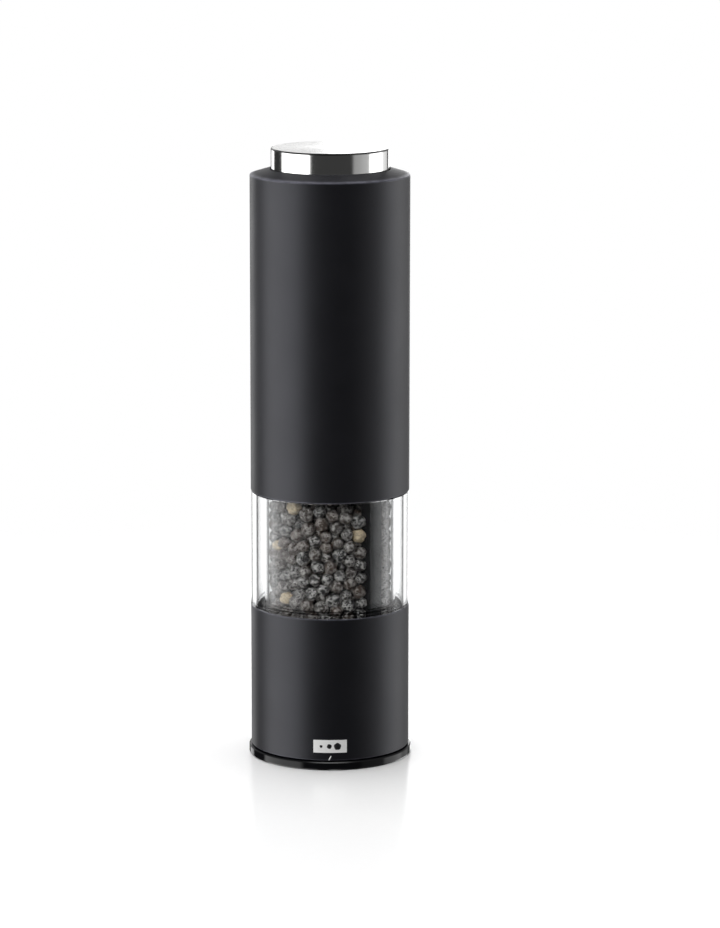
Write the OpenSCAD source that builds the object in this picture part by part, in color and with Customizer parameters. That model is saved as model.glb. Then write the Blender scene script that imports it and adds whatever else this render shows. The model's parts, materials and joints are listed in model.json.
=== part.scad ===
// Battery pepper mill with a press-top switch, a clear hopper band and a ceramic burr.
// Origin at the middle of the foot, +Z up, front at -Y. Millimetres.

/* [Overall] */
// Outside diameter of the two black sleeves
body_d = 56; // [54:1:70]
// Height of the lower black sleeve
base_sleeve_h = 50.8; // [50:0.2:70]
// Height of the clear band between the sleeves
window_h = 40.8; // [30:0.2:60]

/* [Walls and clearances] */
// Wall of the black sleeves
sleeve_wall = 1.0; // [0.8:0.1:1.4]
// Wall of the outer clear tube
window_wall = 2.2; // [1.6:0.1:3]
// How far the clear tube stands back from the sleeves
window_inset = 0.25; // [0.1:0.05:0.6]
// Air gap between the clear tube and the hopper
hopper_gap = 2.4; // [2:0.05:5]
// Wall of the clear hopper
hopper_wall = 1.4; // [1:0.1:2]
// Wall of the moulded inner frames
frame_wall = 1.6; // [1.2:0.1:2]
// Thickness of moulded floors and plates
plate_t = 2.0; // [1.6:0.1:2.6]
// Radial clearance between pieces that stay put
slip = 0.1; // [0.05:0.05:0.2]
// Radial clearance between pieces that slide past each other
glide = 0.2; // [0.15:0.05:0.3]
// Radial clearance of shafts and pins that turn
running = 0.05; // [0.03:0.01:0.08]

/* [Lid] */
// How far the lid's rim stands out past the sleeve
lid_overhang = 0.8; // [0.4:0.1:1.6]
// Height of the lid's rim
lid_rim_h = 3.0; // [2:0.2:5]
// Shadow gap between the rim and the sleeve
lid_gap = 0.4; // [0.2:0.1:0.8]
// Height of the lid's spigot inside the mouth
lid_spigot_h = 4.6; // [3:0.2:5]
// Wall of the lid
lid_wall = 1.4; // [1:0.1:2]
// Depth of the hollow under the lid
foot_recess = 0.6; // [0.3:0.1:1]

/* [Badge] */
// Width of the printed badge
badge_w = 11.8; // [8:0.2:16]
// Height of the printed badge
badge_h = 4.6; // [3:0.2:7]
// Height of the badge's lower edge above the sleeve's lower edge
badge_rise = 2.9; // [1:0.1:20]
// Thickness of the badge and the index mark
print_t = 0.1; // [0.05:0.05:0.2]

/* [Grinder] */
// Outside diameter of the ceramic ring
burr_od = 34; // [28:1:36]
// Height of the ceramic ring
burr_h = 12; // [10:1:14]
// Gap between cone and ring at the rest setting
burr_gap = 0.4; // [0.3:0.05:0.6]
// Grooves on each burr's fine zone
burr_teeth = 24; // [18:2:30]
// Diameter of the drive shaft
shaft_d = 5; // [4.2:0.1:6]
// Thread diameter at the shaft's lower end
thread_d = 4; // [3:0.5:4]
// Diameter of the setting knob
knob_d = 18; // [15:1:21]
// Height of the setting knob's grip
knob_grip_h = 4; // [3:0.5:5]

/* [Gearbox] */
// Gear module
gear_m = 0.6; // [0.5:0.05:0.65]
// Teeth on each sun gear
sun_teeth = 9; // [9:3:12]
// Teeth on each planet gear
planet_teeth = 18; // [15:3:18]
// Tooth thinning of each gear
backlash = 0.1; // [0.06:0.02:0.16]
// Face width of the planets
gear_w = 3.6; // [3:0.2:5]
// Planet pin diameter
pin_d = 2.4; // [2:0.1:3]

/* [Motor] */
// Motor can diameter
motor_d = 24; // [20:1:29]
// Motor length with its end cap
motor_l = 26; // [22:1:32]
// Motor shaft diameter
motor_shaft_d = 2; // [1.5:0.1:2.4]

/* [Batteries] */
// Cell diameter
cell_d = 10.5; // [9:0.5:12.6]
// Cell length
cell_l = 44.5; // [40:0.5:52]
// Height of the contacts at each end of a cell
contact_h = 2.2; // [1.8:0.1:3]

/* [Button] */
// Button diameter
button_d = 41.2; // [34:0.2:43]
// Height of the button above the collar
button_proud = 7.2; // [5:0.2:10]
// Press travel of the button
button_travel = 2; // [1:0.5:2.5]
// Rise of the collar from its outer edge to the button
collar_rise = 2.0; // [1:0.1:3]
// Sheet thickness of the button cap
cap_wall = 0.6; // [0.4:0.1:1]

/* [Lamp] */
// Direction of the wire duct, seen from above
duct_angle = -45; // [-60:0.5:-30]
// Width of the wire duct
duct_w = 5.2; // [5:0.2:7]
// Depth of the wire duct towards the shaft
duct_t = 3.8; // [3.6:0.2:5]
// Lamp diameter
lamp_d = 3; // [3:0.5:4]
// Lead diameter over the insulation
lead_d = 1.3; // [1:0.1:1.6]

/* [Hidden] */
$fn = 96;
eps = 0.5;

// Radii from the outside in
body_r = body_d / 2;
sleeve_in_r = body_r - sleeve_wall;
window_r = body_r - window_inset;
window_in_r = window_r - window_wall;
hopper_r = window_in_r - hopper_gap;
hopper_in_r = hopper_r - hopper_wall;
frame_r = sleeve_in_r - slip;
mouth_r = frame_r - frame_wall;
lid_r = body_r + lid_overhang;
lid_spigot_r = mouth_r - glide;
liner_in_r = frame_r - 1.2;
cage_r = liner_in_r - glide;

// Heights of the lower half
foot_edge = 0.5;
base_z = lid_rim_h + lid_gap;
window_z = base_z + base_sleeve_h;
window_top_z = window_z + window_h;
window_spigot_h = 3.5;
lid_floor_z = foot_recess + 1.6;
lid_top_z = lid_rim_h + lid_spigot_h;
knob_z = lid_floor_z + 3.6;
knob_top_z = knob_z + knob_grip_h + 2.5;
burr_z = knob_top_z;
burr_top_z = burr_z + burr_h;
ledge_z = burr_z - plate_t;
seal_t = 0.6;
plate_top_z = window_z - window_spigot_h - seal_t;
throat_z = burr_top_z + 1.6;
hub_z = burr_top_z + 5;
hub_top_z = hub_z + 5.5;

// Ceramic burr
burr_r = burr_od / 2;
seat_r = burr_r + slip;
seat_out_r = seat_r + frame_wall;
fine_h = burr_h / 3;
ring_foot_r = burr_r * 0.8;
ring_waist_r = ring_foot_r - 1.6;
ring_top_r = burr_r - 2.4;
cone_foot_r = ring_foot_r - burr_gap;
cone_waist_r = ring_waist_r - burr_gap;
cone_top_r = shaft_d / 2 + 4;
fine_tilt = atan((ring_foot_r - ring_waist_r) / fine_h);

// Drive shaft
shaft_r = shaft_d / 2;
thread_r = thread_d / 2 - running;
hex_bore_r = shaft_r + 0.1;
bush_r = shaft_r + 1.1;
hub_r = bush_r + 1.2;
clip_z = hub_top_z + 0.9;
clip_t = 0.8;
washer_t = 0.5;
burr_spring_r = shaft_r + 1.1;

// Wire duct and lamp
duct_out_r = hopper_in_r - 0.3;
duct_in_r = duct_out_r - duct_t;
lead_r = lead_d / 2;
motor_lead_r = lead_r * 0.8;
lead_off = 1.5;
lead_pitch_r = duct_out_r - 1.7;
duct_z = throat_z + 4;
pad_t = 0.5;
lamp_r = lamp_d / 2;
lamp_pitch_r = (seat_out_r + mouth_r) / 2;
board_z = burr_z + 3.5;

// Screws of the base
base_screw_r = 1.2;
base_screw_angles = [90, 210, 290];

// Power unit
unit_z = window_top_z + 1.5;
spigot_h = 4.5;
hopper_top_z = unit_z + spigot_h;
flange_z = unit_z + spigot_h;
spigot_r = hopper_in_r - glide;
floor_t = 2.5;
floor_z = unit_z + floor_t;

// Planetary gearbox
ring_teeth = sun_teeth + 2 * planet_teeth;
pressure = 20;
gear_clear = 0.25;
sun_pitch_r = gear_m * sun_teeth / 2;
planet_pitch_r = gear_m * planet_teeth / 2;
ring_pitch_r = gear_m * ring_teeth / 2;
orbit_r = sun_pitch_r + planet_pitch_r;
gearbox_r = ring_pitch_r + 3.7;
gearbox_screw_r = ring_pitch_r + 2.3;
carrier_r = orbit_r + pin_d / 2 + 1.2;
carrier_t = 2.0;
out_z = floor_z + 0.2;
planet_two_z = out_z + carrier_t + 0.2;
carrier_one_z = planet_two_z + gear_w + 0.4;
planet_one_z = carrier_one_z + carrier_t + 0.2;
gearbox_top_z = planet_one_z + gear_w + 0.5;
motor_z = gearbox_top_z + 1.9;
hub_out_r = shaft_r + 3;
hub_drop = 1.0;
socket_depth = 5;

// Motor
motor_r = motor_d / 2;
end_cap_h = 4;
terminal_t = 0.6;
can_h = motor_l - end_cap_h;
motor_shaft_r = motor_shaft_d / 2;
armature_r = motor_r - 3.2;
armature_h = can_h - 9;
boss_r = 3;

// Battery cage
cell_r = cell_d / 2;
cell_count = 6;
nub_h = 1.2;
cage_z = motor_z + motor_l + 2;
cell_z = cage_z + plate_t + contact_h;
cage_top_z = cell_z + cell_l + contact_h;
cell_pitch_r = cage_r - 0.8 - cell_r;
spine_r = cell_pitch_r - cell_r - 1.0;
spine_in_r = spine_r - 3.5;
chassis_screw_r = cage_r - 4.1;
fin_r = chassis_screw_r - 2.6;

// Switch and button
switch_z = cage_top_z + plate_t;
switch_h = 4;
plunger_top_z = switch_z + switch_h + button_travel + 0.2;
deck_z = plunger_top_z + 0.8;
deck_t = 1.6;
collar_z = deck_z + deck_t + 3.8;
button_r = button_d / 2;
collar_in_r = button_r + 0.4;
collar_top_z = collar_z + collar_rise;
button_top_z = collar_top_z + button_proud;
cap_z = collar_z - 1.2;
core_r = button_r - cap_wall;
core_top_z = button_top_z - cap_wall;
stem_r = 2.6;
leg_r = button_r - 6;
button_spring_r = stem_r + 4.4;
sleeve_z = window_top_z + 0.2;
liner_z = window_top_z + window_spigot_h + 0.6;

// A tube from z to z + h
module tube(r_out, r_in, z, h) {
    translate([0, 0, z])
        difference() {
            cylinder(r = r_out, h = h);
            translate([0, 0, -eps]) cylinder(r = r_in, h = h + 2 * eps);
        }
}

// A disc or rod from z to z + h
module rod(r, z, h) {
    translate([0, 0, z]) cylinder(r = r, h = h);
}

// Children repeated n times round the axis
module around(n, first = 0) {
    for (i = [0 : n - 1]) rotate(first + i * 360 / n) children();
}

// A round bar from point a to point b
module bar(a, b, r) {
    d = b - a;
    len = norm(d);
    translate(a)
        rotate([0, acos(d[2] / len), atan2(d[1], d[0])])
            cylinder(r = r, h = len, $fn = 32);
}

// An insulated lead through a list of points
module lead(points, r) {
    for (i = [0 : len(points) - 2]) bar(points[i], points[i + 1], r);
    for (i = [1 : len(points) - 2]) translate(points[i]) sphere(r = 1.06 * r, $fn = 32);
}

// A point in the duct's direction: distance out, offset sideways, height
function duct_point(r, side, z) = [
    r * cos(duct_angle) - side * sin(duct_angle),
    r * sin(duct_angle) + side * cos(duct_angle),
    z
];

// A coil spring from z0 to z1 whose mean radius runs from r0 to r1
module coil(r0, r1, wire, z0, z1, turns, steps = 18, sides = 8) {
    n = round(turns * steps);
    rise = z1 - z0 - wire;
    points = [
        for (i = [0 : n])
            let (t = i / n, a = 360 * turns * t, r = r0 + (r1 - r0) * t, z = z0 + wire / 2 + rise * t)
            for (k = [0 : sides - 1])
                let (b = 360 * k / sides)
                [(r + wire / 2 * cos(b)) * cos(a), (r + wire / 2 * cos(b)) * sin(a), z + wire / 2 * sin(b)]
    ];
    walls = [
        for (i = [0 : n - 1])
            for (k = [0 : sides - 1])
                let (j = (k + 1) % sides)
                [i * sides + k, i * sides + j, (i + 1) * sides + j, (i + 1) * sides + k]
    ];
    first = [for (k = [sides - 1 : -1 : 0]) k];
    last = [for (k = [0 : sides - 1]) n * sides + k];
    polyhedron(points, concat([first], walls, [last]), convexity = 10);
}

// Involute gears
function inv(a) = tan(a) * 180 / PI - a;
function flank(r, pitch_r, teeth, thin) =
    90 / teeth - thin / (2 * pitch_r) * 180 / PI + inv(pressure)
    - inv(acos(min(1, pitch_r * cos(pressure) / r)));

// A gear outline with a tooth on +X, from root radius to tip radius
module gear_outline(teeth, root_r, tip_r, thin) {
    pitch_r = gear_m * teeth / 2;
    low_r = max(root_r, pitch_r * cos(pressure));
    radii = [low_r, (low_r + pitch_r) / 2, pitch_r, (pitch_r + tip_r) / 2, tip_r];
    polygon([
        for (i = [0 : teeth - 1])
            let (a = i * 360 / teeth)
            for (k = [0 : 11])
                let (
                    up = k < 6,
                    j = up ? k : 11 - k,
                    r = j == 0 ? root_r : radii[j - 1],
                    h = flank(max(r, low_r), pitch_r, teeth, thin)
                )
                r * [cos(a + (up ? -h : h)), sin(a + (up ? -h : h))]
    ]);
}

module spur_gear(teeth, z, h) {
    pitch_r = gear_m * teeth / 2;
    translate([0, 0, z])
        linear_extrude(h)
            gear_outline(teeth, pitch_r - gear_m - gear_clear, pitch_r + 0.9 * gear_m, backlash);
}

// ---------------------------------------------------------------- base

module base_sleeve() {
    color("#26262a")
        rotate_extrude()
            polygon([
                [sleeve_in_r, base_z],
                [body_r - 0.25, base_z],
                [body_r, base_z + 0.25],
                [body_r, window_z - 0.2],
                [body_r - 0.2, window_z],
                [sleeve_in_r, window_z]
            ]);
}

module window_tube() {
    neck_r = sleeve_in_r - glide;
    bead_r = body_r - 0.05;
    bead_z = window_z + 1;
    color([0.9, 0.95, 0.97, 0.3])
        rotate_extrude()
            polygon([
                [window_in_r, window_z - window_spigot_h],
                [neck_r - 0.3, window_z - window_spigot_h],
                [neck_r, window_z - window_spigot_h + 0.3],
                [neck_r, window_z],
                [bead_r, window_z],
                [bead_r, bead_z - 0.1],
                [bead_r - 0.1, bead_z],
                [window_r, bead_z],
                [window_r, window_top_z - 0.15],
                [window_r - 0.15, window_top_z],
                [neck_r, window_top_z],
                [neck_r, window_top_z + window_spigot_h - 0.3],
                [neck_r - 0.3, window_top_z + window_spigot_h],
                [window_in_r, window_top_z + window_spigot_h]
            ]);
}

module window_seal() {
    color("#101010") tube(sleeve_in_r - glide, window_in_r, plate_top_z, seal_t);
}

module hopper() {
    flange_t = 1.5;
    color([0.9, 0.95, 0.97, 0.3])
        rotate_extrude()
            polygon([
                [hopper_in_r, plate_top_z],
                [window_in_r - 0.5, plate_top_z],
                [window_in_r - 0.5, plate_top_z + flange_t],
                [hopper_r, plate_top_z + flange_t],
                [hopper_r, hopper_top_z - 0.4],
                [hopper_r - 0.4, hopper_top_z],
                [hopper_in_r + 0.4, hopper_top_z],
                [hopper_in_r, hopper_top_z - 0.6]
            ]);
}

// The duct's outline, grown by g
module duct_outline(g = 0) {
    rotate(duct_angle)
        translate([duct_in_r - g, -duct_w / 2 - g])
            square([duct_t + 2 * g, duct_w + 2 * g]);
}

module funnel() {
    plate_z = plate_top_z - plate_t;
    throat_r = ring_top_r + 0.2;
    color("#1c1c1e")
        difference() {
            union() {
                rotate_extrude()
                    polygon([
                        [throat_r, burr_top_z],
                        [seat_out_r, burr_top_z],
                        [seat_out_r, throat_z],
                        [throat_r + frame_wall, throat_z],
                        [hopper_in_r + frame_wall, plate_z],
                        [frame_r, plate_z],
                        [frame_r, plate_top_z],
                        [hopper_in_r, plate_top_z],
                        [throat_r, throat_z]
                    ]);
                for (a = base_screw_angles)
                    rotate(a)
                        translate([lamp_pitch_r, 0, 0])
                            rod(2.6, burr_z, plate_z - burr_z + 0.5);
                intersection() {
                    around(3, 30)
                        translate([hub_r - 1, -1.2, hub_z + 0.5])
                            cube([hopper_r, 2.4, 3]);
                    rotate_extrude()
                        polygon([
                            [0, throat_z],
                            [throat_r + frame_wall / 2, throat_z],
                            [hopper_in_r + frame_wall / 2, plate_z],
                            [0, plate_z]
                        ]);
                }
                rod(hub_r, hub_z, hub_top_z - hub_z);
            }
            rod(bush_r, hub_z - eps, hub_top_z - hub_z + 2 * eps);
            for (a = base_screw_angles)
                rotate(a)
                    translate([lamp_pitch_r, 0, 0])
                        rod(base_screw_r - 0.2, burr_z - eps, 10 + eps);
            translate([0, 0, duct_z]) linear_extrude(plate_top_z) duct_outline(slip);
            for (s = [-1, 1])
                translate(duct_point(lead_pitch_r, s * lead_off, throat_z))
                    cylinder(r = lead_r + 0.15, h = duct_z - throat_z + eps);
        }
}

module grinder_carrier() {
    ledge_r = cone_foot_r + 1.8;
    color("#1c1c1e")
        difference() {
            union() {
                tube(frame_r, mouth_r, base_z, burr_top_z - base_z - 3);
                tube(mouth_r + eps, ledge_r, ledge_z, plate_t);
                tube(seat_out_r, seat_r, burr_z - eps, burr_h + eps);
                rotate(duct_angle)
                    for (s = [-1, 1])
                        translate([lamp_pitch_r - 2, s * 2.6 - 0.6, burr_z - eps])
                            cube([4, 1.2, board_z - burr_z + eps]);
            }
            for (a = base_screw_angles)
                rotate(a)
                    translate([lamp_pitch_r, 0, 0]) {
                        rod(base_screw_r + 0.15, ledge_z - eps, plate_t + 2 * eps);
                        rod(2.4, ledge_z - eps, 1 + eps);
                    }
            translate(duct_point(lamp_pitch_r, 0, 0)) {
                rod(lamp_r + 0.4, ledge_z - eps, plate_t + 2 * eps);
                rod(lamp_r + 0.9, ledge_z - eps, 1 + eps);
            }
        }
}

module base_screws() {
    color("silver")
        for (a = base_screw_angles)
            rotate(a)
                translate([lamp_pitch_r, 0, 0])
                    difference() {
                        union() {
                            rod(2.2, ledge_z, 1);
                            rod(base_screw_r - 0.2, ledge_z + 0.5, plate_t + 6);
                        }
                        rotate(45)
                            for (b = [0, 90])
                                rotate(b)
                                    translate([-1.3, -0.25, ledge_z - eps])
                                        cube([2.6, 0.5, 0.5 + eps]);
                    }
}

// A row of triangular grooves, leaning by tilt, with their tips at tip_r
module grooves(n, tip_r, open_r, z, h, tilt, twist, half_w, first = 0) {
    around(n, first)
        translate([tip_r, 0, z])
            rotate([twist, tilt, 0])
                linear_extrude(h, center = true)
                    polygon([[0, 0], [open_r - tip_r, half_w], [open_r - tip_r, -half_w]]);
}

module burr_ring() {
    waist_z = burr_z + fine_h;
    coarse_tilt = atan((ring_top_r - ring_waist_r) / (burr_h - fine_h));
    color("ivory")
        difference() {
            rotate_extrude()
                polygon([
                    [ring_foot_r, burr_z],
                    [burr_r, burr_z],
                    [burr_r, burr_top_z],
                    [ring_top_r, burr_top_z],
                    [ring_waist_r, waist_z]
                ]);
            grooves(burr_teeth, (ring_foot_r + ring_waist_r) / 2 + 0.7, ring_waist_r - 2,
                burr_z + fine_h / 2, fine_h * 1.3, -fine_tilt, 0, 2.1);
            grooves(burr_teeth / 2, (ring_waist_r + ring_top_r) / 2 + 1.1, ring_waist_r - 2,
                (waist_z + burr_top_z) / 2, burr_h, coarse_tilt, 14, 2.8);
        }
}

module shaft_bush() {
    color("#b98a4a")
        difference() {
            union() {
                rod(bush_r, hub_z, hub_top_z - hub_z);
                rod(hub_r - 0.2, hub_top_z, 0.8);
            }
            rod(shaft_r + running, hub_z - eps, hub_top_z - hub_z + 2);
        }
}

module wire_duct() {
    color("#0c0c0d")
        difference() {
            translate([0, 0, duct_z]) linear_extrude(unit_z - 0.2 - duct_z) duct_outline();
            for (s = [-1, 1])
                translate(duct_point(lead_pitch_r, s * lead_off, duct_z - eps))
                    cylinder(r = lead_r + 0.15, h = unit_z);
        }
}

module lamp_leads() {
    color("#a02020")
        for (s = [-1, 1]) {
            side = s * lead_off;
            lead([
                duct_point(lead_pitch_r, side, unit_z - 0.2 - pad_t),
                duct_point(lead_pitch_r, side, duct_z - 1),
                duct_point(lamp_pitch_r, side, burr_top_z + 1.4),
                duct_point(lamp_pitch_r, side, board_z + 1)
            ], lead_r);
        }
}

module contact_pads() {
    color("gold")
        for (s = [-1, 1])
            translate(duct_point(lead_pitch_r, s * lead_off, unit_z - 0.2 - pad_t))
                cylinder(r = lead_r + 0.15, h = pad_t);
}

module lamp_board() {
    color("darkgreen")
        rotate(duct_angle)
            translate([lamp_pitch_r - 2, -3.2, board_z])
                cube([4, 6.4, 1]);
}

module lamp_led() {
    color([1, 1, 0.9, 0.6])
        translate(duct_point(lamp_pitch_r, 0, 0)) {
            rod(lamp_r, burr_z - 0.6, board_z - burr_z + 0.6);
            rod(lamp_r + 0.3, board_z - 1, 1);
        }
}

module lamp_lens() {
    color([0.9, 0.95, 0.97, 0.4])
        translate(duct_point(lamp_pitch_r, 0, 0))
            rod(lamp_r + 0.85, ledge_z, 1);
}

module badge() {
    half = badge_w / body_d / PI * 180;
    z = base_z + badge_rise;
    color("white")
        rotate(-90 - half)
            translate([0, 0, z])
                rotate_extrude(angle = 2 * half)
                    translate([body_r, 0])
                        square([print_t, badge_h]);
}

// ---------------------------------------------------------------- lid

module base_lid() {
    color("#0a0a0b")
        rotate_extrude()
            polygon([
                [0, foot_recess],
                [lid_spigot_r - 1.4, foot_recess],
                [lid_spigot_r - 1, 0],
                [lid_r - foot_edge, 0],
                [lid_r, foot_edge],
                [lid_r, lid_rim_h - 0.35],
                [lid_r - 0.35, lid_rim_h],
                [lid_spigot_r, lid_rim_h],
                [lid_spigot_r, lid_floor_z],
                [0, lid_floor_z]
            ]);
}

module lid_spigot() {
    color("#141416")
        rotate_extrude()
            polygon([
                [lid_spigot_r - lid_wall, lid_floor_z],
                [lid_spigot_r, lid_floor_z],
                [lid_spigot_r, lid_top_z - 0.4],
                [lid_spigot_r - 0.4, lid_top_z],
                [lid_spigot_r - lid_wall, lid_top_z]
            ]);
}

// ---------------------------------------------------------------- drive shaft and cone

module drive_shaft() {
    socket_z = unit_z - hub_drop;
    hex_z = burr_z + 1;
    hex_top_z = socket_z + socket_depth - 0.2;
    groove_z = clip_z;
    color("silver") {
        rod(thread_r, knob_z - 0.8, hex_z - knob_z + 0.9);
        translate([0, 0, hex_z]) cylinder(r = shaft_r, h = hub_z - hex_z - washer_t, $fn = 6);
        rod(shaft_r, hub_z - washer_t, groove_z - hub_z + washer_t);
        rod(shaft_r - 0.4, groove_z, clip_t);
        rod(shaft_r, groove_z + clip_t, socket_z - 1 - groove_z - clip_t);
        translate([0, 0, socket_z - 1])
            cylinder(r = shaft_r, h = hex_top_z - socket_z + 1, $fn = 6);
    }
}

module shaft_clip() {
    color("dimgray")
        difference() {
            tube(shaft_r + 1.6, shaft_r - 0.4, clip_z, clip_t);
            translate([0, -0.9, clip_z - eps]) cube([shaft_r + 3, 1.8, clip_t + 2 * eps]);
        }
}

module thrust_washer() {
    color("white") tube(hub_r - 0.3, shaft_r + running, hub_z - washer_t, washer_t);
}

module burr_spring() {
    color("silver") coil(burr_spring_r, burr_spring_r, 0.7, burr_top_z + 0.1, hub_z - washer_t, 4);
}

module burr_cone() {
    waist_z = burr_z + fine_h;
    coarse_tilt = atan((cone_waist_r - cone_top_r) / (burr_h - fine_h));
    color("ivory")
        difference() {
            rotate_extrude()
                polygon([
                    [0, burr_z],
                    [cone_foot_r, burr_z],
                    [cone_waist_r, waist_z],
                    [cone_top_r, burr_top_z],
                    [0, burr_top_z]
                ]);
            translate([0, 0, burr_z - eps]) cylinder(r = hex_bore_r, h = burr_h + 2 * eps, $fn = 6);
            grooves(burr_teeth, (cone_foot_r + cone_waist_r) / 2 - 0.7, cone_foot_r + 2,
                burr_z + fine_h / 2, fine_h * 1.3, -fine_tilt, 0, 2.1);
            grooves(6, (cone_waist_r + cone_top_r) / 2 - 1.8, cone_foot_r + 2,
                (waist_z + burr_top_z) / 2, burr_h * 1.2, -coarse_tilt, 24, 3.4);
        }
}

module adjuster_knob() {
    grip_r = knob_d / 2;
    insert_r = thread_d / 2 + 1.6;
    color("#e8e8e6")
        difference() {
            union() {
                rod(grip_r, knob_z, knob_grip_h);
                rod(insert_r + 1.4, knob_z, burr_z - knob_z);
            }
            around(8)
                translate([grip_r + 1.4, 0, knob_z - eps])
                    cylinder(r = 2.6, h = knob_grip_h + 2 * eps);
            rod(insert_r, knob_z + 1, burr_z - knob_z);
            rod(thread_d / 2 + 0.4, knob_z - eps, 2);
        }
}

module adjuster_insert() {
    color("gold") tube(thread_d / 2 + 1.6, thread_d / 2 + running, knob_z + 1, burr_z - knob_z - 1);
}

// ---------------------------------------------------------------- power unit

module unit_chassis() {
    color("#1c1c1e")
        difference() {
            union() {
                tube(spigot_r, hub_out_r + 0.4, unit_z, floor_t);
                tube(spigot_r, gearbox_r + 0.6, unit_z, spigot_h + 0.5);
                tube(cage_r, gearbox_r + 0.6, flange_z, frame_wall);
                tube(cage_r, cage_r - frame_wall, flange_z, cage_z - flange_z);
                around(3, 30)
                    translate([chassis_screw_r, 0, 0])
                        rod(boss_r, flange_z, cage_z - flange_z);
            }
            translate([0, 0, unit_z + 1.1])
                difference() {
                    cylinder(r = spigot_r + eps, h = 1.2);
                    cylinder(r = spigot_r - 0.9, h = 1.2);
                }
            around(3, 30) translate([chassis_screw_r, 0, 0]) rod(1, cage_z - 8, 8 + eps);
            around(3, 90) translate([gearbox_screw_r, 0, 0]) rod(0.75, floor_z - 1.6, 2);
            for (s = [-1, 1])
                translate(duct_point(lead_pitch_r, s * lead_off, unit_z - eps))
                    cylinder(r = lead_r + 0.35, h = spigot_h + frame_wall + 2 * eps);
        }
}

module chassis_seal() {
    wire = 1.1;
    color("#101010")
        rotate_extrude()
            translate([spigot_r - 0.9 + wire / 2, unit_z + 1.7])
                circle(d = wire, $fn = 32);
}

module ring_gear() {
    color("#d8d4c8")
        difference() {
            rod(gearbox_r, floor_z, gearbox_top_z - floor_z);
            translate([0, 0, floor_z - eps])
                linear_extrude(gearbox_top_z - floor_z + 2 * eps)
                    rotate(180 / ring_teeth)
                        gear_outline(
                            ring_teeth,
                            ring_pitch_r - 0.9 * gear_m,
                            ring_pitch_r + gear_m + gear_clear,
                            -backlash);
            around(3, 90)
                translate([gearbox_screw_r, 0, 0])
                    rod(0.9, floor_z - eps, gearbox_top_z - floor_z + 2 * eps);
        }
}

module gearbox_plate() {
    color("#d8d4c8")
        difference() {
            rod(gearbox_r, gearbox_top_z, motor_z - gearbox_top_z);
            rod(sun_pitch_r + gear_m + 0.4, gearbox_top_z - eps, 4);
            around(3, 90) translate([gearbox_screw_r, 0, 0]) rod(0.9, gearbox_top_z - eps, 4);
            around(2, 0) translate([8, 0, 0]) {
                rod(1.1, gearbox_top_z - eps, 4);
                rod(2.1, gearbox_top_z - eps, 1.1 + eps);
            }
        }
}

module gearbox_screws() {
    color("silver") {
        around(3, 90)
            translate([gearbox_screw_r, 0, 0]) {
                rod(0.75, floor_z - 1.5, motor_z - floor_z + 1.5);
                rod(1.4, motor_z, 0.9);
            }
        around(2, 0)
            translate([8, 0, 0]) {
                rod(2, gearbox_top_z, 1);
                rod(1, gearbox_top_z, motor_z - gearbox_top_z + 1);
            }
    }
}

module motor_can() {
    color("#b8bcc0")
        difference() {
            rod(motor_r, motor_z, can_h);
            rod(motor_r - 1, motor_z + 1, can_h);
            rod(motor_shaft_r + 0.4, motor_z - eps, 2 + eps);
            around(2, 0) translate([8, 0, 0]) rod(1, motor_z - eps, 2);
        }
}

module motor_end_cap() {
    color("#202830")
        difference() {
            union() {
                rod(motor_r, motor_z + can_h, end_cap_h - 1);
                rod(boss_r + 1, motor_z + can_h, end_cap_h);
                for (s = [-1, 1])
                    translate([s * 7.5 - 1.2, -terminal_t / 2, motor_z + can_h + 1])
                        cube([2.4, terminal_t, end_cap_h]);
            }
            rod(motor_r - 2.5, motor_z + can_h - eps, 1.5 + eps);
            rod(motor_shaft_r + running, motor_z + can_h - eps, end_cap_h - 1 + eps);
        }
}

module motor_magnets() {
    arc = 120;
    color("#3a3a3e")
        for (a = [90, 270])
            rotate(a - arc / 2)
                translate([0, 0, motor_z + 2])
                    rotate_extrude(angle = arc)
                        translate([armature_r + 0.4, 0])
                            square([motor_r - 1 - armature_r - 0.4, can_h - 4]);
}

module motor_leads() {
    color("#a02020")
        for (s = [-1, 1])
            lead([
                [s * 4, 0, switch_z],
                [s * 4, 0, cage_z + 1],
                [s * 7.5, terminal_t / 2 + 1.1 * motor_lead_r, cage_z - 1.2],
                [s * 7.5, terminal_t / 2 + 1.1 * motor_lead_r, motor_z + motor_l - 0.2]
            ], motor_lead_r);
}

module lamp_feed_leads() {
    color("#d8c020")
        for (s = [-1, 1]) {
            side = s * lead_off;
            lead([
                duct_point(lead_pitch_r, side, floor_z + 0.6),
                duct_point(lead_pitch_r, side, cage_z - 0.9),
                duct_point(4.5, side, cage_z - 0.9),
                duct_point(4.5, side, switch_z)
            ], lead_r * 0.6);
        }
}

module contact_pins() {
    color("gold")
        for (s = [-1, 1])
            translate(duct_point(lead_pitch_r, s * lead_off, 0)) {
                rod(0.6, unit_z - 0.2, 1);
                rod(lead_r + 0.25, unit_z + 0.4, floor_z - unit_z + 0.2);
            }
}

module battery_plate_lower() {
    color("#1c1c1e")
        difference() {
            rod(cage_r, cage_z, plate_t);
            rod(spine_in_r - 1, cage_z - eps, plate_t + 2 * eps);
            around(3, 30)
                translate([chassis_screw_r, 0, 0])
                    rod(1.25, cage_z - eps, plate_t + 2 * eps);
        }
}

module battery_spine() {
    h = cage_top_z - cage_z - plate_t;
    color("#1c1c1e")
        difference() {
            union() {
                rod(spine_r, cage_z + plate_t, h);
                around(cell_count, 30)
                    translate([spine_r - 1, -0.8, cage_z + plate_t + 0.6])
                        cube([fin_r - spine_r + 1, 1.6, h - 1.2]);
            }
            rod(spine_in_r, cage_z + plate_t - eps, h + 2 * eps);
            around(3, 90)
                translate([(spine_r + spine_in_r) / 2, 0, 0])
                    rod(0.8, cage_top_z - 8, 8 + eps);
        }
}

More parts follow.
